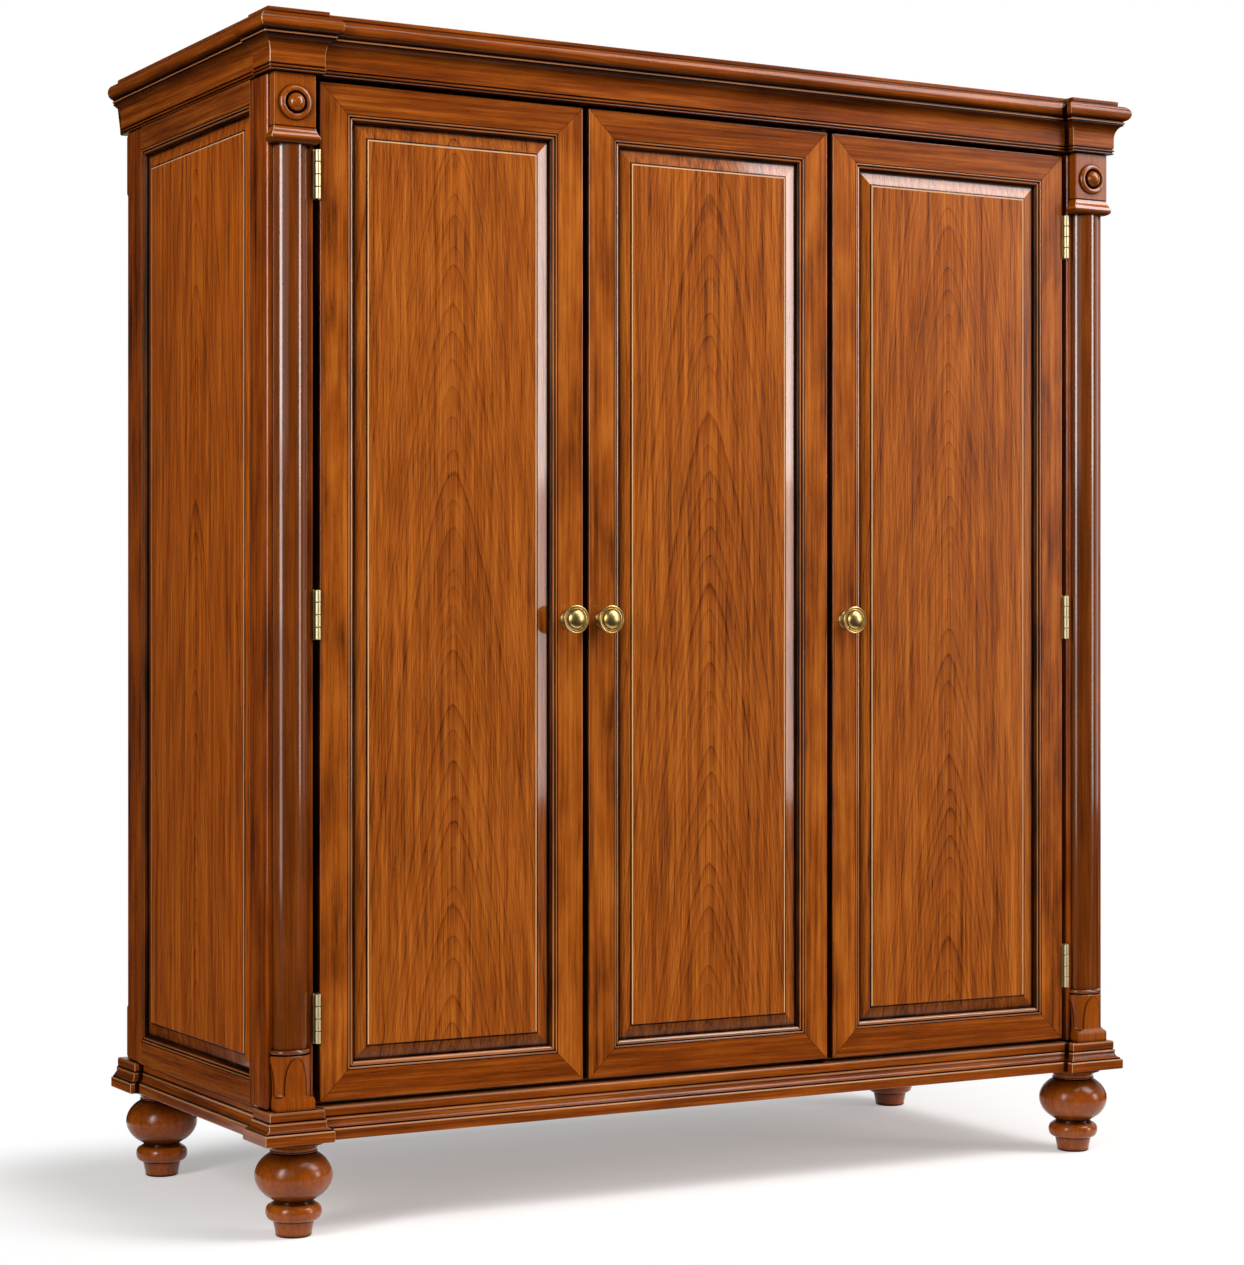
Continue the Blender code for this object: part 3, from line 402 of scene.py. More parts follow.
def addMoulding(bm, path, section, level, seed):
    # a section run along a square-cornered path: painted highlights on the chamfered arrises outside,
    # painted shade in the inner corners
    points = [Vector(p) for p in path]
    still = Vector((0, 0))
    steps = [still] + [end - start for start, end in zip(points, points[1:])] + [still]
    rings = []
    for i, point in enumerate(points):
        before, after = steps[i].normalized(), steps[i + 1].normalized()
        outward = Vector((before.y + after.y, -before.x - after.x))
        corner = before.cross(after)
        shifts = [still]
        if corner > 0.5:
            shifts = [-before * turns["arris"], after * turns["arris"]]
        if corner < -0.5:
            reach = [min(turns["shade"], turns["room"] / mm * step.length) for step in steps[i:i + 2]]
            shifts = [-before * reach[0], still, after * reach[1]]
        spots = [Vector((*(point + outward * out * mm), level + rise * mm)) for out, rise, _ in section]
        for shift in shifts:
            rings.append(([bm.verts.new(s + Vector((*shift, 0)) * mm) for s in spots], i, corner))
    girth = [0.0]
    for (x, z, _), (nextX, nextZ, _) in zip(section, section[1:]):
        girth.append(girth[-1] + sqrt((nextX - x) ** 2 + (nextZ - z) ** 2) * mm)
    for (start, i, _), (end, j, corner) in zip(rings, rings[1:]):
        way = (points[j] - points[i]).normalized() if j > i else Vector((1, 0))
        offset = seed + turns["boardStep"] * i
        for k, n in around(len(section)):
            corners = []
            for ring, c in ((start, k), (start, n), (end, n), (end, k)):
                glazeAndPaintedLight = section[c][2]
                # inner corners are painted dark as shade, and outer chamfers are painted pale as highlights
                # unless their section is dark
                if i == j and corner < 0:
                    glazeAndPaintedLight = 1.0
                elif i == j and glazeAndPaintedLight <= 0.5:
                    glazeAndPaintedLight = turns["paintedHighlight"]
                run = (ring[c].co.xy - points[0]).dot(way)
                corners.append((ring[c], Vector((girth[c] + offset, offset, run + offset)), glazeAndPaintedLight))
            addFace(bm, corners)
    grains = [Vector((x * mm, seed, z * mm)) for x, z, _ in section]
    capGlazeAndShade = [glazeAndPaintedLight * 0.3 for _, _, glazeAndPaintedLight in section]
    caps = [addFace(bm, list(zip(ring, grains, capGlazeAndShade))) for ring, _, _ in (rings[0], rings[-1])]
    bmesh.ops.triangulate(bm, faces=caps)
    return bm


frontward = Matrix.Rotation(pi / 2, 4, "X")


def addTurning(bm, outline, steps, centre, seed=0.0, tilt=Matrix()):
    # an outline of radius and height in millimetres and its share of glaze and painted light, spun round its
    # axis
    place = Matrix.Translation(centre) @ tilt
    spun = []
    for radius, height, glazeAndPaintedLight in outline:
        ring = []
        for s in range(steps if radius > 0 else 1):
            angle = 2 * pi * s / steps
            local = Vector((radius * cos(angle) * mm, radius * sin(angle) * mm, height * mm))
            ring.append((bm.verts.new(place @ local), local + Vector((seed, seed, seed)), glazeAndPaintedLight))
        spun.append(ring)
    for upper, lower in zip(spun, spun[1:]):
        for s, n in around(steps):
            if len(upper) == 1:
                addFace(bm, [upper[0], lower[s], lower[n]])
            elif len(lower) == 1:
                addFace(bm, [upper[s], lower[0], upper[n]])
            else:
                addFace(bm, [upper[s], lower[s], lower[n], upper[n]])
    return bm


# Frame and panel section, shared by the doors and the sides, in millimetres
framing = dict(face=46.5, sideFace=38.5, sticking=12.4, edgeRound=2, doorThick=24,
               sideThick=23.5, quirk=1.6, ovoloTop=2.1, wallTop=5.8, panelFace=9.3,
               hidden=9, bevel=21, bevelTop=5.8, fieldTop=4.8, panelBack=16.3)


def stickingLine(edge, unshaded=False):
    # black quirk, small bead, second quirk, ovolo, wall down to the panel: painted shade fills the quirks,
    # the wall and the ovolo's inner half, and the bead is painted a little paler as a highlight; unshaded
    # leaves the whole ovolo pale
    size = Values(**framing)
    line = [(-0.6, 0, 0), (-0.1, 0.02, 0.3), (0, 0.15, 1), (0.1, size.quirk, 1), (1.1, size.quirk, 1)]
    line += [(1.2, 0.9, 0.9), (1.3, 0.55, 0), (1.7, 0.3, -0.15), (2.2, 0.22, -0.15), (2.9, 0.3, -0.15)]
    line += [(3.5, 0.55, -0.1), (3.9, 0.9, 0), (4.0, 1.2, 1), (4.1, 3.0, 1), (5.6, 3.0, 1)]
    line += [(5.7, 2.4, 0.8)]
    foot = size.wallTop + 0.8
    for x, d, _ in arc((6.0, foot), (size.sticking - 6.2, foot - size.ovoloTop), 272, 346, 12):
        line.append((x, d, -0.15 if unshaded else min(1.0, max(-0.15, (x - 8.3) / 1.3))))
    line += [(size.sticking, size.wallTop + 0.6, 1), (size.sticking, size.panelFace - 0.1, 1)]
    return moved(line, edge, 0)


def panelSteps():
    # inset, depth, darkening, and the darkening of the bottom side, which is darker. Painted shade fills the
    # foot and the bevel, and the field's edge is painted paler as a highlight
    size = Values(**framing)
    slope = (size.panelFace - size.bevelTop) / size.bevel
    top = size.hidden + size.bevel
    bevel = [(0.7, 1.0, 1), (1.0, 0.5, 0.75), (5, 0.28, 0.62), (12, 0.04, 0.55), (18.4, 0.04, 0.6)]
    bevel += [(x, 1.0, 1) for x in (18.7, 20.8, size.bevel)]
    steps = [(inset, size.panelFace, 1.0, 1) for inset in (0, size.hidden - 0.2)]
    steps += [(size.hidden + x, size.panelFace - slope * x, glazeAndPaintedLight, low) for x, glazeAndPaintedLight, low in bevel]
    steps += [(top + 0.2, size.fieldTop + 0.5, 0.5, 0.8), (top + 0.5, size.fieldTop + 0.05, -0.9, 0.1)]
    steps += [(top + 2.3, size.fieldTop, -0.8, 0)]
    return steps + [(top + x, size.fieldTop, 0.0, 0) for x in (2.6, 6)]


def addPanel(bm, centre, across, depth, width, height, seed):
    # nested rectangles from the hidden tongue in to the raised field, then the flat back
    steps = panelSteps()
    rings = []
    for inset, d, glazeAndPaintedLight, _ in steps + [(0, framing["panelBack"], 0.0, 0)]:
        ring = []
        for sx, sz in ((-1, -1), (1, -1), (1, 1), (-1, 1)):
            x = sx * (width / 2 - inset * mm)
            z = sz * (height / 2 - inset * mm)
            spot = Vector(centre) + across * x + depth * d * mm + up * z
            ring.append((bm.verts.new(spot), Vector((x, d * mm + seed, z + seed * 3)), glazeAndPaintedLight))
        rings.append(ring)
    for i in range(-1, len(steps) - 1):
        for k, n in around(4):
            corners = [rings[i][k], rings[i][n], rings[i + 1][n], rings[i + 1][k]]
            if k == 0 and i >= 0:
                bottomDarkening = [steps[j][3] for j in (i, i, i + 1, i + 1)]
                corners = [(vert, grain, glazeAndPaintedLight) for (vert, grain, _), glazeAndPaintedLight in zip(corners, bottomDarkening)]
            addFace(bm, corners)
    for ring in rings[-2:]:
        addFace(bm, ring)
    return bm


# Doors: four mitred members, a fielded panel, a brass knob
doors = {
    "left_door": dict(knobSide=1, seed=0.31),
    "middle_door": dict(knobSide=-1, seed=1.27),
    "right_door": dict(knobSide=-1, seed=2.43),
}
knob = dict(radius=23.5, rim=1.1, steps=64)


def knobLine():
    r = knob["radius"]
    rim = r * knob["rim"]
    ring = rim + 2
    line = [(0, ring + r * 0.36, 0)] + arc((0, ring - 0.6), (r * 0.68, r * 0.38), 86, 6, 14)
    line += [(r * 0.69, ring - 1.2, 1), (r * 0.71, ring - 1.2, 1)]
    line += arc((r * 0.77, ring - 1.0), (r * 0.055, r * 0.06), 190, -10, 8)
    line += [(r * 0.832, ring - 1.8, 1), (r * 0.85, ring - 1.8, 1)]
    line += arc((r * 0.92, rim), (r * 0.08, r * 0.15), 160, -85, 10)
    line += arc((r * 0.9, r * 0.4), (r * 0.54, r * 0.48), 100, 180, 8, 0.15)
    line += [(r * 0.36, r * 0.26, 0.5), (r * 0.5, r * 0.2, 0.2), (r * 0.62, r * 0.12, 0)]
    return line + [(r * 0.66, 0.4, 0.1), (0, 0.4, 0)]


size = Values(**framing)
soft = (size.edgeRound, size.edgeRound)
# painted shade: the outer edges are painted nearly black, as the door gaps lie in shade
edgeLine = [(0, size.edgeRound, 0.97)] + arc(soft, soft, 200, 270, 7)  # outer edges are nearly black
backLine = [(size.face + size.sticking, size.doorThick, 0.3), (1, size.doorThick, 0.2)]
backLine += [(0, size.doorThick - 1, 0.97)]
doorLine = edgeLine + stickingLine(size.face) + backLine
unshadedLine = edgeLine + stickingLine(size.face, True) + backLine  # the bottom rail's ovolo is left without painted shade and a little paler: painted highlight
for name, settings in doors.items():
    parts = ("stile_left", "stile_right", "rail_bottom", "rail_top")
    low, high = boxOf(*[f"{name}_{part}" for part in parts])
    seed = settings["seed"]
    members = (
        ("stile_left", low, right, up, high.z - low.z, stileCherry),
        ("stile_right", (high.x, low.y, low.z), -right, up, high.z - low.z, stileCherry),
        ("rail_bottom", low, up, right, high.x - low.x, railCherry),
        ("rail_top", (low.x, low.y, high.z), -up, right, high.x - low.x, railCherry),
    )
    for number, (part, origin, across, along, length, finish) in enumerate(members):
        line = unshadedLine if part == "rail_bottom" else doorLine
        bm = addMember(newShape(), line, origin, across, back, along, length, seed + number * 0.41)
        addPiece(f"{name}_{part}_moulded", bm, finish, [f"{name}_{part}"], edge=0.4, body=name)
    node = f"{name}_panel"
    middle, span = spanOf(node)
    bm = addPanel(newShape(), (middle.x, low.y, middle.z), right, back, span.x, span.z, seed)
    addPiece(f"{node}_fielded", bm, panelCherry, [node], sharp=4, body=name)
    node = f"{name}_knob"
    middle, _ = spanOf(node)
    bm = addTurning(newShape(), knobLine(), knob["steps"], (middle.x, low.y, middle.z), seed, frontward)
    addPiece(f"{node}_turned", bm, knobBrass, [node], edge=0, body=name)
print("doors made")

# Side frames: posts, rails, mitred sticking and fielded panels
sides = dict(deep=628, postDeep=68.5, postEdge=3, railEdge=0.6, lip=1.3,
             blockTop=108, blockLow=93, blockWide=70, blockSink=2, blockEdge=5, clear=1)
size = Values(**sides)
lip = -size.lip
stripLine = [(lip, 0.4, 0)] + stickingLine(0)
stripLine += [(framing["sticking"], framing["sideThick"], 0.3), (lip, framing["sideThick"], 0)]
for side, sign in (("left", -1), ("right", 1)):
    postLow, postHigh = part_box(f"post_front_{side}")
    rearLow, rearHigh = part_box(f"post_rear_{side}")
    railLow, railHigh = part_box(f"side_rail_top_{side}")
    baseLow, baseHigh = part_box(f"side_rail_bottom_{side}")
    outer = postLow.x if sign < 0 else postHigh.x
    inward = -sign * right
    front = postLow.y
    rear = front + size.deep * mm
    openFront = front + size.postDeep * mm
    openRear = rear - size.postDeep * mm
    openLow = baseLow.z + framing["sideFace"] * mm
    openHigh = railHigh.z - framing["sideFace"] * mm
    spans = {
        f"post_front_{side}": (postLow, (postHigh.x, openFront, postHigh.z),
                               "z", postCherry, size.postEdge),
        f"side_rail_top_{side}": ((railLow.x, openFront, openHigh), (railHigh.x, openRear, railHigh.z),
                                  "y", railCherry, size.railEdge),
        f"side_rail_bottom_{side}": ((baseLow.x, openFront, baseLow.z), (baseHigh.x, openRear, openLow),
                                     "y", railCherry, size.railEdge),
    }
    for number, (node, (low, high, along, finish, edge)) in enumerate(spans.items()):
        bm = addBlock(newShape(), low, high, along, 0.37 * number + 0.11 * sign)
        addPiece(f"{node}_body", bm, finish, [node], edge)
    # rear post with a rounded block at the top and the bottom of its back
    low, high = (rearLow.x, openRear, rearLow.z), (rearHigh.x, rear, rearHigh.z)
    bm = addBlock(newShape(), low, high, seed=0.83)
    addPiece(f"post_rear_{side}_body", bm, postCherry, [f"post_rear_{side}"], size.postEdge)
    centre = (rearLow.x + rearHigh.x) / 2
    half = size.blockWide / 2 * mm
    blocks = {
        "top": (rearHigh.z - size.blockTop * mm, rearHigh.z - size.clear * mm),
        "bottom": (rearLow.z + size.clear * mm, rearLow.z + size.blockLow * mm),
    }
    for end, (bottom, top) in blocks.items():
        blockLow = (centre - half, rear - size.blockSink * mm, bottom)
        bm = addBlock(newShape(), blockLow, (centre + half, rearHigh.y, top), seed=0.53)
        addPiece(f"post_rear_{side}_block_{end}", bm, postCherry, edge=size.blockEdge)
    strips = (
        ("front", (outer, openFront, openLow), back, up, openHigh - openLow, postCherry),
        ("rear", (outer, openRear, openLow), -back, up, openHigh - openLow, postCherry),
        ("top", (outer, openFront, openHigh), -up, back, openRear - openFront, railCherry),
        ("bottom", (outer, openFront, openLow), up, back, openRear - openFront, railCherry),
    )
    for number, (part, origin, across, along, length, finish) in enumerate(strips):
        bm = addMember(newShape(), stripLine, origin, across, inward, along, length, 3.1 + 0.29 * number)
        addPiece(f"side_sticking_{part}_{side}", bm, finish, edge=0.3)
    node = f"side_panel_{side}"
    middle, span = spanOf(node)
    bm = addPanel(newShape(), (outer, middle.y, middle.z), back, inward, span.y, span.z, seed=3.7 + sign)
    addPiece(f"{node}_fielded", bm, litSidePanelCherry, [node], sharp=4)
print("sides made")

# Cornice: bead, frieze, cavetto, fillet and torus, broken forward at the front corners
cornice = dict(frieze=10.5, friezeLow=11, friezeTop=27, fillet=24.5, filletLow=52, torus=33.5,
               torusRadius=13.5, torusTop=86, neck=15.6, height=89, deep=20, sideStep=5,
               railInset=5, railFront=52, railBack=32, clear=1)
corner = dict(front=72, side=50, step=18)  # the blocks that stand forward at the front corners


def cornerPath(side, front):
    # the left corner block from behind to its step back on the front
    inner, rear = -side + corner["front"] * mm, front + corner["side"] * mm
    return [(-side, rear), (-side, front), (inner, front), (inner, front + corner["step"] * mm)]


def bothSides(half):
    return half + [(-x, y) for x, y in reversed(half)]


size = Values(**cornice)
low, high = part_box("cornice")
side = high.x - size.torus * mm
block = cornerPath(side, low.y + size.torus * mm)
inSide = -side + size.sideStep * mm
cornicePath = bothSides([(inSide, high.y), (inSide, block[0][1])] + block)
# the quirks round the bead and the frieze are painted dark: glaze and painted shade
line = [(-size.deep, 0, 0), (0, 0, 0.8), (8.5, 0.1, 0.9), (10.0, 0.4, 0.5), (10.5, 1.5, 0.4)]
line += [(10.1, 2.6, 0.5), (8.4, 2.8, 1), (8.4, 4.6, 1)] + arc((9.0, 6.6), (2.2, 1.9), -75, 75, 8, 0.1)
line += [(8.8, 8.6, 1), (8.8, 10.6, 1)]
line += [(size.frieze, size.friezeLow, 0.2), (size.frieze, size.friezeLow + 1, 0)]
# the cavetto is painted darker towards its top, under the fillet: painted shade
hollow = (size.fillet - size.frieze, size.filletLow - 0.6 - size.friezeTop)
for x, z, _ in arc((size.fillet, size.friezeTop), hollow, 180, 94, 14):
    line.append((x, z, min(0.75, max(0.0, (z - size.friezeTop - 4) / 24))))
# the fillet's quirks are painted dark as shade and its arris paler as a highlight
filletLine = [(-0.2, -0.3, 1), (-2, 0, 1), (-2, 2.2, 1), (0, 2.5, 0.2), (0.2, 3.1, -0.3)]
filletLine += [(0.2, 5, -0.1), (-1.6, 5.6, 1), (-1.8, 7, 1)]
line += moved(filletLine, size.fillet, size.filletLow)
# the torus is painted darker on its lower side: painted shade
level = size.torusTop - size.torusRadius
for x, z, _ in arc((size.torus - size.torusRadius, level), size.torusRadius, -76, 88, 22):
    line.append((x, z, min(0.95, max(0.0, (level - 5 - z) / 7))))
line += [(size.neck + 1, size.torusTop - 0.3, 1), (size.neck, size.torusTop + 0.2, 1)]
line += [(size.neck, size.height, 0.8), (-size.deep, size.height, 0)]
bm = addMoulding(newShape(), cornicePath, line, low.z, seed=5.2)
addPiece("cornice_moulded", bm, mouldedCherry, ["cornice"], edge=0.3)
railSide = side - (size.sideStep + size.railInset) * mm
railLow = (-railSide, high.y - size.railFront * mm, low.z + size.clear * mm)
railHigh = (railSide, high.y - size.railBack * mm, high.z - size.clear * mm)
bm = addBlock(newShape(), railLow, railHigh, "x", seed=0.7)
addPiece("cornice_rear_rail", bm, railCherry, edge=0.6)

# Base: slab, cove and fascia, with the rails behind that carry the feet
base = dict(slab=22, slabHigh=17.6, slabRound=2, coveFoot=18.5, coveTop=11.5, fillet=30,
            fascia=10, fasciaLow=36.6, height=50, deep=20, round=3, sideStep=14, rearLong=75,
            railInset=20, railWide=106, rearWider=32, sideNarrower=20, clear=1)
size = Values(**base)
low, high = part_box("base_moulding")
side = high.x - size.slab * mm
front = low.y + size.slab * mm
block = cornerPath(side, front)
inSide = -side + size.sideStep * mm
rear = high.y - size.rearLong * mm
basePath = bothSides([(-side, high.y), (-side, rear), (inSide, rear), (inSide, block[0][1])] + block)
slabIn = size.slab - size.slabRound
# dark glaze and painted shade fill the quirks, and the slab's top round, the fillet and the fascia's round
# are painted paler as highlights
line = [(-size.deep, 0, 0), (size.slab - 2.5, 0, 0.2)]
line += arc((slabIn, size.slabRound), size.slabRound, 280, 360, 5) + [(size.slab, size.slabHigh - 2.8, 0)]
line += arc((slabIn, size.slabHigh - size.slabRound), size.slabRound, 8, 88, 6, -0.4)
line += moved([(0.6, 0, 1), (0, 0.2, 1), (0, 2.4, 1)], size.coveFoot, size.slabHigh)
hollow = (size.coveFoot - 0.2 - size.coveTop, size.fillet - size.slabHigh - 3)
line += arc((size.coveFoot - 0.2, size.fillet - 0.2), hollow, 268, 182, 10, 0.05)
line += moved([(0, 0, 0.8), (0.6, 0.6, -0.2), (0.8, 2.6, -0.3), (0.2, 4.2, 0.1)], size.coveTop, size.fillet)
line += [(size.fascia - 0.6, size.fillet + 4.7, 1)]
line += moved([(-0.7, -0.2, 1), (-0.1, 0, 0.3), (0, 1, 0)], size.fascia, size.fasciaLow)
line += [(size.fascia, size.height - size.round - 1.4, 0)]
line += arc((size.fascia - size.round, size.height - size.round), size.round, 0, 90, 8, -0.12)
line += [(-size.deep, size.height, 0)]
bm = addMoulding(newShape(), basePath, line, low.z, seed=7.4)
addPiece("base_moulded", bm, mouldedCherry, ["base_moulding"], edge=0.3)
outX = side - size.railInset * mm
inX = outX - (size.railWide - size.sideNarrower) * mm
frontOut = front + size.railInset * mm
frontIn = frontOut + size.railWide * mm
rearOut = high.y - size.clear * mm
rearIn = rearOut - (size.railWide + size.rearWider) * mm
rails = (
    (-outX, frontOut, outX, frontIn, "x"),
    (-outX, rearIn, outX, rearOut, "x"),
    (-outX, frontIn, -inX, rearIn, "y"),
    (inX, frontIn, outX, rearIn, "y"),
)
bottom, top = low.z + size.clear * mm, high.z - size.clear * mm
bm = newShape()
for number, (x, y, endX, endY, along) in enumerate(rails):
    addBlock(bm, (x, y, bottom), (endX, endY, top), along, seed=0.6 * number)
addPiece("base_rails", bm, railCherry, edge=0.8)
print("cornice and base made")

# Turned feet: flared plate, collar, ball, neck, ring and toe
foot = dict(plate=48, plateHigh=5, collar=36, collarLow=134.5, ball=61, ballLow=57,
            ballHigh=131, neck=31, ring=44, ringLow=26, ringHigh=51, toe=28, steps=72)


def footLine(top):
    size = Values(**foot)
    topAngle = degrees(acos((size.collar - 0.5) / size.ball))
    lowAngle = degrees(acos(size.neck / size.ball))
    ballTall = size.ballHigh - size.ballLow
    rise = ballTall / (sin(radians(topAngle)) + sin(radians(lowAngle)))
    middle = size.ballLow + rise * sin(radians(lowAngle))
    plateLow = top - size.plateHigh
    # the plate's top under the base and the quirks are painted dark: painted shade where parts meet
    line = [(0, top, 0.6), (size.plate, top, 0.9), (size.plate + 0.2, top - 1.5, 0.2)]
    line += moved([(0, 0.6, 0), (-0.8, 0, 0.4)], size.plate, plateLow)
    flare = (size.plate - size.collar - 1, plateLow - size.collarLow)
    line += arc((size.plate - 1, size.collarLow), flare, 95, 178, 8, 0.1)
    bead = [(-0.2, 0, 0.6)] + arc((-0.4, -1.4), (1.8, 1.3), 75, -60, 6) + [(-0.8, -3.2, 1)]
    line += moved(bead, size.collar, size.collarLow)
    # the ball is painted darker on its top and bottom: painted shade where less light falls
    for x, z, _ in arc((0, middle), (size.ball, rise), topAngle, -lowAngle + 2, 26):
        share = (z - size.ballLow) / ballTall
        line.append((x, z, max(0.0, 0.7 - share * 2.4, (share - 0.58) * 2.1)))
    line += [(size.neck, size.ballLow - 1, 1)]
    line += moved([(0.6, 2.6, 0.8), (3.2, 1.4, 0), (3.4, 0.6, 1)], size.neck, size.ringHigh)
    bulge = (size.ringHigh - size.ringLow) / 2
    line += arc((size.ring - bulge * 0.7, size.ringLow + bulge), (bulge * 0.7, bulge), 80, -85, 14)
    line += moved([(1.8, -0.4, 1), (1.4, -1.4, 0.9), (1, -3, 0.1)], size.neck, size.ringLow)
    return line + arc((size.toe - 3, 4), (3.5, 4), 20, -90, 5) + [(0, 0, 0.5)]


for end, side in product(("front", "rear"), ("left", "right")):
    node = f"foot_{end}_{side}"
    low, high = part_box(node)
    x, y, _ = (low + high) / 2
    bm = addTurning(newShape(), footLine(high.z / mm), foot["steps"], (x, y, 0), x + y)
    addPiece(f"{node}_turned", bm, turnedCherry, [node], edge=0)

# Corner columns: turned shafts whose square foot runs out in lamb's-tongue stops
column = dict(radius=30.5, ring=5, ringHigh=8, baseHigh=86, neck=2.2, tongue=12,
              tongueLow=13, flat=31, runOut=2.6, block=65, setback=10.3, steps=120,
              past=5, smallFace=8)


def columnLine(length):
    size = Values(**column)
    reach = size.radius + size.ring
    foot = sqrt((reach + 0.3) ** 2 + (size.block / 2) ** 2) + 1
    low = size.tongueLow + size.tongue
    high = size.baseHigh - size.neck
    ringTop = size.baseHigh + size.ringHigh
    # the top under the capital and the quirk under the ring are painted dark: painted shade
    line = [(0, length, 0.5), (size.radius, length, 0.9), (size.radius, length - 3, 0)]
    line += [(size.radius, ringTop + 2, 0), (size.radius, ringTop + 0.4, 1)]
    line += arc((size.radius, size.baseHigh + size.ringHigh / 2), (size.ring, size.ringHigh / 2), 70, -70, 8)
    line += [(size.radius + 0.2, size.baseHigh - 0.3, 1), (reach - 1, size.baseHigh - 0.9, 0.6)]
    line += [(reach, high + (low - high) * (i / 18), 0) for i in range(19)]
    # the upper part of each lamb's tongue is painted dark: painted shade in its hollow
    for i in range(1, 13):
        flare = (foot - reach) * (1 - cos(pi * i / 12)) / 2
        line.append((reach + flare, low - size.tongue * (i / 12), 0.7 if i < 5 else 0.1))
    return line + [(foot, 0, 0), (0, 0, 0)]


def flatDepth(z):
    # how far the flats stand from the axis: they run out into the round above and flare to the square below
    size = Values(**column)
    low = size.tongueLow + size.tongue
    if z > low:
        share = min(1.0, (z - low) / (size.baseHigh - size.neck - low))
        return size.flat + (size.radius + size.ring + 0.6 - size.flat) * share ** size.runOut
    share = min(1.0, (low - z) / size.tongue)
    return size.flat + (size.block / 2 - size.flat) * (1 - cos(pi * share)) / 2


size = Values(**column)
reach = size.radius + size.ring
stop = size.tongueLow + size.tongue
rise = size.baseHigh - size.neck - stop
for side in ("left", "right"):
    node = f"column_{side}"
    low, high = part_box(node)
    length = (high.z - low.z) / mm
    x = (low.x + high.x) / 2
    y = high.y + size.setback * mm
    bm = addTurning(newShape(), columnLine(length), size.steps, (x, y, low.z), x)
    bmesh.ops.recalc_face_normals(bm, faces=bm.faces)
    spun = addObject("spun", bm)
    # a square bar as wide as the flats at each level cuts them from the turning
    levels = [-size.past] + [stop - size.tongue * (1 - i / 6) for i in range(6)]
    levels += [stop + rise * i / 14 for i in range(15)] + [length + size.past]
    bm = bmesh.new()
    rings = []
    for z in levels:
        wide = flatDepth(z) * mm
        corners = ((x - wide, y - wide), (x + wide, y - wide), (x + wide, high.y), (x - wide, high.y))
        rings.append([bm.verts.new((*spot, low.z + z * mm)) for spot in corners])
    for start, end in zip(rings, rings[1:]):
        for k, n in around(4):
            bm.faces.new((start[k], start[n], end[n], end[k]))
    bm.faces.new(rings[0])
    bm.faces.new(rings[-1])
    bmesh.ops.recalc_face_normals(bm, faces=bm.faces)
    bar = addObject("bar", bm)
    meet = spun.modifiers.new("meet", "BOOLEAN")
    meet.operation = "INTERSECT"
    meet.solver = "EXACT"
    meet.object = bar
    bpy.context.view_layer.update()
    cut = bpy.data.meshes.new_from_object(spun.evaluated_get(bpy.context.evaluated_depsgraph_get()))
    bm = bmesh.new()
    bm.from_mesh(cut)
    for item in (spun, bar):
        bpy.data.objects.remove(item)
    grainLayer, glazeAndLightLayer = layersOf(bm)
    # painted shade lines the arched edges where the flats run out into the round, whose faces are the small
    # ones
    for face in bm.faces:
        isRound = face.calc_area() < size.smallFace * mm * mm
        for loop in face.loops:
            spot = loop.vert.co
            loop[grainLayer] = spot
            z = (spot.z - low.z) / mm
            depth = flatDepth(z)
            if isRound and stop - 1 < z < size.baseHigh - 2 and depth < reach - 0.1:
                half = sqrt(reach ** 2 - depth ** 2)
                gap = min(abs(abs(spot.x - x) / mm - half), abs((y - spot.y) / mm - half))
                loop[glazeAndLightLayer] = max(0.0, 1.2 - gap / 3)
        # the shaft takes the darker column copy, which is painted shade, and the base block keeps the turned
        # stain
        face.material_index = int(face.calc_center_median().z < low.z + (size.baseHigh + 1) * mm)
    shaft = addPiece(f"{node}_turned", bm, shadedColumnCherry, [node], edge=0, sharp=24)
    shaft.data.materials.append(turnedCherry)
print("feet and columns made")

# Capitals: square die with a ring-and-ball boss over a swelling cushion
capital = dict(die=70, proud=19.7, cushionHigh=27, cushionOut=6, cushionLow=8, cushionDeep=16,
               boss=27, ball=15, bossDrop=5, steps=64)
size = Values(**capital)
# the cushion's lower roll and its quirks are painted dark: painted shade under the swelling
cushionLine = [(-size.cushionDeep, 0, 0), (-2, 0, 1)]
cushionLine += arc((-1, size.cushionLow), (size.cushionOut + 1, 7.2), 280, 360, 8, 0.6)
for i in range(1, 13):
    share = i / 12
    z = size.cushionLow + (size.cushionHigh - 1 - size.cushionLow) * share
    cushionLine.append((size.cushionOut * (1 + cos(pi * share)) / 2, z, 0.9 if i == 12 else 0.0))
cushionLine += [(-0.6, size.cushionHigh - 0.3, 1), (-size.cushionDeep, size.cushionHigh - 0.3, 0.6)]
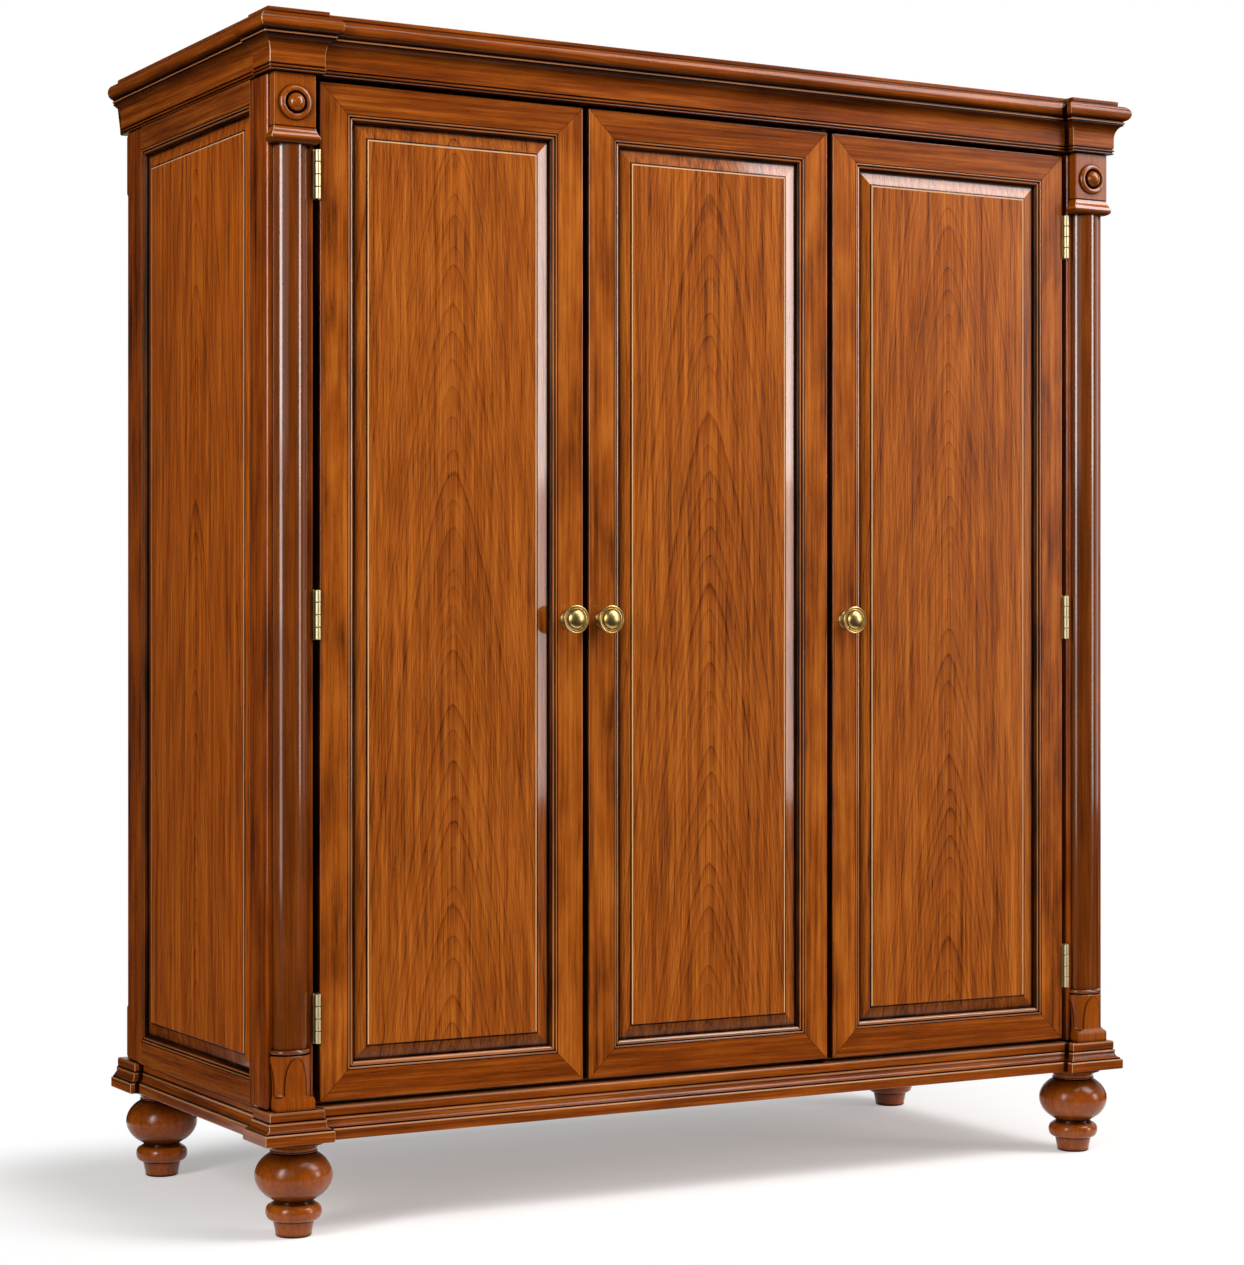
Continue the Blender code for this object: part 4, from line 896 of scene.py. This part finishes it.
# the boss's quirks are painted dark: painted shade
bossLine = [(0, size.ball + 1, 0)] + arc((0, 1), size.ball, 85, 4, 14)
ringWide = (size.boss - size.ball - 1) / 2
bossLine += [(size.ball + 0.6, 1.0, 1)]
bossLine += arc((size.ball + 1 + ringWide, 1), ringWide, 172, 0, 12)
bossLine += [(size.boss, 0.4, 1), (size.boss, -2, 1), (0, -2, 0)]
for side in ("left", "right"):
    node = f"capital_{side}"
    low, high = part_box(node)
    x = (low.x + high.x) / 2
    start, end = x - size.die / 2 * mm, x + size.die / 2 * mm
    front = high.y - size.proud * mm
    dieLow = low.z + size.cushionHigh * mm
    bm = addBlock(newShape(), (start, front, dieLow), (end, high.y, high.z), seed=0.9 * x)
    addPiece(f"{node}_die", bm, turnedCherry, [node], edge=1.2)
    path = [(start, high.y), (start, front), (end, front), (end, high.y)]
    bm = addMoulding(newShape(), path, cushionLine, low.z, seed=8.1 + x)
    addPiece(f"{node}_cushion", bm, bossCherry, edge=0.3)
    centre = (x, front, (dieLow + high.z) / 2 - size.bossDrop * mm)
    bm = addTurning(newShape(), bossLine, size.steps, centre, seed=0.4 + x, tilt=frontward)
    addPiece(f"{node}_boss", bm, bossCherry, edge=0)
print("capitals made")

# Butt hinges: two solid knuckles on each leaf, countersunk screws
hinge = dict(tall=78, axis=731.75, knuckle=4.75, round=0.7, gap=1.2, leafThick=2,
             leafDeep=24, leafStart=0.4, leafOut=5.6, steps=32,
             screw=3.4, screwRise=27, screwDeep=16, screwSteps=20)


def knuckleLine(number):
    size = Values(**hinge)
    step = size.tall / 4
    top = size.tall / 2 - number * step - size.gap / 2
    low = top - step + size.gap
    inner = size.knuckle - size.round
    # the knuckle ends are darkened: painted shade in the slots between the knuckles
    line = [(0, top, 0.8), (inner - 0.2, top, 0.8)]
    line += arc((inner, top - size.round), size.round, 80, 0, 3)
    line += arc((inner, low + size.round), size.round, 0, -80, 3)
    return line + [(inner - 0.2, low, 0.8), (0, low, 0.8)]


size = Values(**hinge)
screwLine = [(0, 0.25, 0.1), (size.screw * 0.5, 0.25, 0.1), (size.screw * 0.96, 0.12, 0)]
screwLine += [(size.screw, 0, 0.8), (size.screw, -0.6, 0.8), (0, -0.6, 0)]
for (side, sign), spot in product((("left", -1), ("right", 1)), ("top", "middle", "bottom")):
    stem = f"{side}_hinge_{spot}"
    low, high = boxOf(f"{stem}_post_leaf", f"{stem}_door_leaf")
    level = (high.z + low.z) / 2
    x = sign * size.axis * mm
    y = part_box(f"{stem}_post_leaf")[0].y + size.knuckle * mm
    leaves = {"door": ((0, 2), -sign, f"{side}_door"), "post": ((1, 3), sign, "carcase")}
    for leaf, (numbers, toward, body) in leaves.items():
        node = f"{stem}_{leaf}_leaf"
        bm = newShape()
        for number in numbers:
            addTurning(bm, knuckleLine(number), size.steps, (x, y, level), level)
        inner = x + toward * (size.leafOut - size.leafThick) * mm
        start, end = sorted((x + toward * size.leafOut * mm, inner))
        leafLow = (start, y + (size.knuckle + size.leafStart) * mm, level - size.tall / 2 * mm)
        addBlock(bm, leafLow, (end, y + size.leafDeep * mm, level + size.tall / 2 * mm), "z", level)
        addPiece(f"{node}_made", bm, brass, [node], edge=0.3, body=body)
        bm = newShape()
        tilt = Matrix.Rotation(-toward * pi / 2, 4, "Y")
        for rise in (-size.screwRise, 0, size.screwRise):
            centre = (inner, y + size.screwDeep * mm, level + rise * mm)
            addTurning(bm, screwLine, size.screwSteps, centre, level, tilt)
        addPiece(f"{node}_screws", bm, brass, edge=0, body=body)
print("hinges made")

# Ball catches: a brass plate with a sprung ball on each door's top edge, a strike under the cornice
catch = dict(inset=70, long=36, wide=12, thick=0.6, ball=3.6, ballHigh=3.24, steps=24)
size = Values(**catch)
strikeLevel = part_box("cornice")[0].z
ballLine = [(0, size.ballHigh, 0)] + arc((0, 0), (size.ball, size.ballHigh), 80, 5, 8)
ballLine += [(size.ball, -0.2, 0.8), (0, -0.2, 0.5)]
for name, settings in doors.items():
    low, high = boxOf(f"{name}_stile_left", f"{name}_stile_right")
    x = high.x - size.inset * mm if settings["knobSide"] > 0 else low.x + size.inset * mm
    y = (low.y + high.y) / 2
    half = Vector((size.long / 2 * mm, size.wide / 2 * mm))
    for part, body, level, rise in (("plate", name, high.z, 1), ("strike", "carcase", strikeLevel, -1)):
        bottom, top = sorted((level, level + rise * size.thick * mm))
        bm = addBlock(newShape(), (x - half.x, y - half.y, bottom), (x + half.x, y + half.y, top), "x", x)
        if part == "plate":
            addTurning(bm, ballLine, size.steps, (x, y, top))
        addPiece(f"{name}_catch_{part}", bm, darkBrass, edge=0.2, body=body)
print("catches made")

# Boards and fittings that keep their CAD solids
kept = {
    "floor_board": insideLying, "back_panel": insideUpright, "partition": insideUpright,
    "hat_shelf": insideLying, "shelf_lower": insideLying, "shelf_upper": insideLying, "top_board": topCherry,
    "hanging_rail": steel, "middle_door_pivot_top": darkBrass, "middle_door_pivot_bottom": darkBrass,
}
for node, finish in kept.items():
    solid = frame["nodes"][node]
    solid.data.materials.clear()
    solid.data.materials.append(finish)
    if node != "hanging_rail":
        weld = solid.modifiers.new("weld", "WELD")
        weld.merge_threshold = 0.01 * mm
        softenEdges(solid, 0.8)
print("boards finished")

# Stage: a small pale floor of matt paper that fades to white at its rim and keeps the shadow, in metres
stage = dict(core=(0.82, 0.32), reach=0.5, fadeStart=0.06, fadeEnd=0.42, lift=0.33, points=96)
size = Values(**stage)
bm = bmesh.new()
rimLine = []
for i in range(size.points):
    turn = 2 * pi * (i + 0.5) / size.points
    x = cos(turn) * size.reach + copysign(size.core[0], cos(turn))
    y = sin(turn) * size.reach + copysign(size.core[1], sin(turn))
    rimLine.append(bm.verts.new((x, y, 0)))
bm.faces.new(rimLine)
floor = addObject("paper_floor", bm)
paper, _, add = newMaterial("matt paper")
paper.node_tree.nodes.clear()
place = add("TexCoord").outputs["Object"]
outward = add("VectorMath", [place], "ABSOLUTE")
outward = add("VectorMath", [outward, (*size.core, 0)], "SUBTRACT")
outward = add("VectorMath", [outward, (0, 0, 0)], "MAXIMUM")
reach = add("VectorMath", [outward], "LENGTH").outputs["Value"]
fade = {"Value": reach, "From Min": size.fadeStart, "From Max": size.fadeEnd}
rim = add("MapRange", fade, interpolation_type="SMOOTHSTEP")
fleck = add("TexNoise", {"Vector": place, "Scale": 1 / (4 * mm), "Detail": 2.0})
tint = add("Mix", {0: fleck, 6: "#E6E5E3", 7: "#EAE9E8"}, data_type="RGBA")
matt = add("BsdfDiffuse", {"Color": tint})
glow = add("Emission", {"Strength": size.lift})
lifted = add("AddShader", [matt, glow])
white = add("Emission", {"Strength": 1.0})
shown = add("MixShader", [rim, lifted, white])
rays = add("LightPath").outputs
seen = add("Math", [rays["Is Camera Ray"], rays["Is Glossy Ray"]], "MAXIMUM")
seen = add("Math", [seen, rays["Is Transmission Ray"]], "MAXIMUM")
surface = add("MixShader", [seen, matt, shown])
add("OutputMaterial", {"Surface": surface})
floor.data.materials.append(paper)

# World: a dim studio with a white backdrop behind the wardrobe
studio = dict(room=0.12, dark=0.012, backdropTurn=29.4, backdropHalf=18, soft=0.03)
world = bpy.data.worlds.new("studio")
scene.world = world
world.use_nodes = True
world.node_tree.nodes.clear()
add = partial(addNode, world.node_tree)
way = add("TexCoord").outputs["Generated"]
behind = (sin(radians(studio["backdropTurn"])), cos(radians(studio["backdropTurn"])), 0)
facing = add("VectorMath", [way, behind], "DOT_PRODUCT").outputs["Value"]
edge = cos(radians(studio["backdropHalf"]))
sheet = add("MapRange", {"Value": facing, "From Min": edge, "From Max": edge + studio["soft"]})
rays = add("LightPath").outputs
mirrored = add("Math", [rays["Is Glossy Ray"], rays["Is Transmission Ray"]], "MAXIMUM")
mirrored = add("Math", [mirrored, sheet], "MULTIPLY")
seen = add("Math", [rays["Is Camera Ray"], mirrored], "MAXIMUM")
fill = add("MapRange", {"Value": rays["Is Glossy Ray"], "To Min": studio["room"], "To Max": studio["dark"]})
room = add("Background", {"Strength": fill, "Color": (1, 1, 1, 1)})
white = add("Background", {"Strength": 1.0, "Color": (1, 1, 1, 1)})
surface = add("MixShader", [seen, room, white])
add("OutputWorld", {"Surface": surface})

# Lamps: a right key, two windows and a wall on the right, a strip on the left that fades downwards,
# a front fill and one overhead. Each has its place, aim and size in metres, and its radiance
lamps = {
    "right key": ((2.6, -2.5, 3.7), (0, -0.3, 1), (1.8, 2.2), 9.4),
    "right window high": ((6.2, -5.34, 2.6), (0.16, -0.3, 1.5), (1.85, 2.0), 11.0),
    "right window low": ((6.2, -5.34, 0.9), (0.16, -0.3, 0.9), (1.85, 1.4), 5.0),
    "right wall": ((3.9, 0.9, 1.7), (0, 0.2, 1.2), (4.2, 2.6), 0.6),
    "left strip high": ((-3.6, -1.8, 2.45), (-0.78, -0.3, 2.45), (0.85, 2.0), 14.0),
    "left strip middle": ((-3.6, -1.8, 1.2), (-0.78, -0.3, 1.2), (0.85, 0.5), 8.0),
    "left strip low": ((-3.6, -1.8, 0.6), (-0.78, -0.3, 0.6), (0.85, 0.7), 4.0),
    "front fill": ((-3.0, -3.4, 2.4), (-0.4, -0.3, 1), (2.6, 2.0), 0.8),
    "overhead": ((1.4, -1.35, 4.3), (0.5, -0.3, 1.2), (4.2, 0.7), 5.5),
}
for name, (place, aim, size, radiance) in lamps.items():
    lamp = bpy.data.lights.new(name, "AREA")
    lamp.shape = "RECTANGLE"
    lamp.size, lamp.size_y = size
    lamp.energy = radiance * pi * lamp.size * lamp.size_y
    holder = bpy.data.objects.new(name, lamp)
    holder.location = place
    holder.rotation_euler = (Vector(aim) - Vector(place)).to_track_quat("-Z", "Y").to_euler()
    holder.visible_camera = False
    scene.collection.objects.link(holder)

# Camera level at mid-height, to the left of the front, with a long lens
view = dict(place=(-2.536, -4.475, 0.939), turn=-29.4, lens=82.55, sensor=36)
lens = bpy.data.cameras.new("camera")
lens.lens = view["lens"]
lens.sensor_width = view["sensor"]
camera = bpy.data.objects.new("camera", lens)
camera.location = view["place"]
camera.rotation_euler = (pi / 2, 0, radians(view["turn"]))
scene.collection.objects.link(camera)
scene.camera = camera
scene.view_settings.view_transform = "Standard"
print("stage, lamps and camera set")
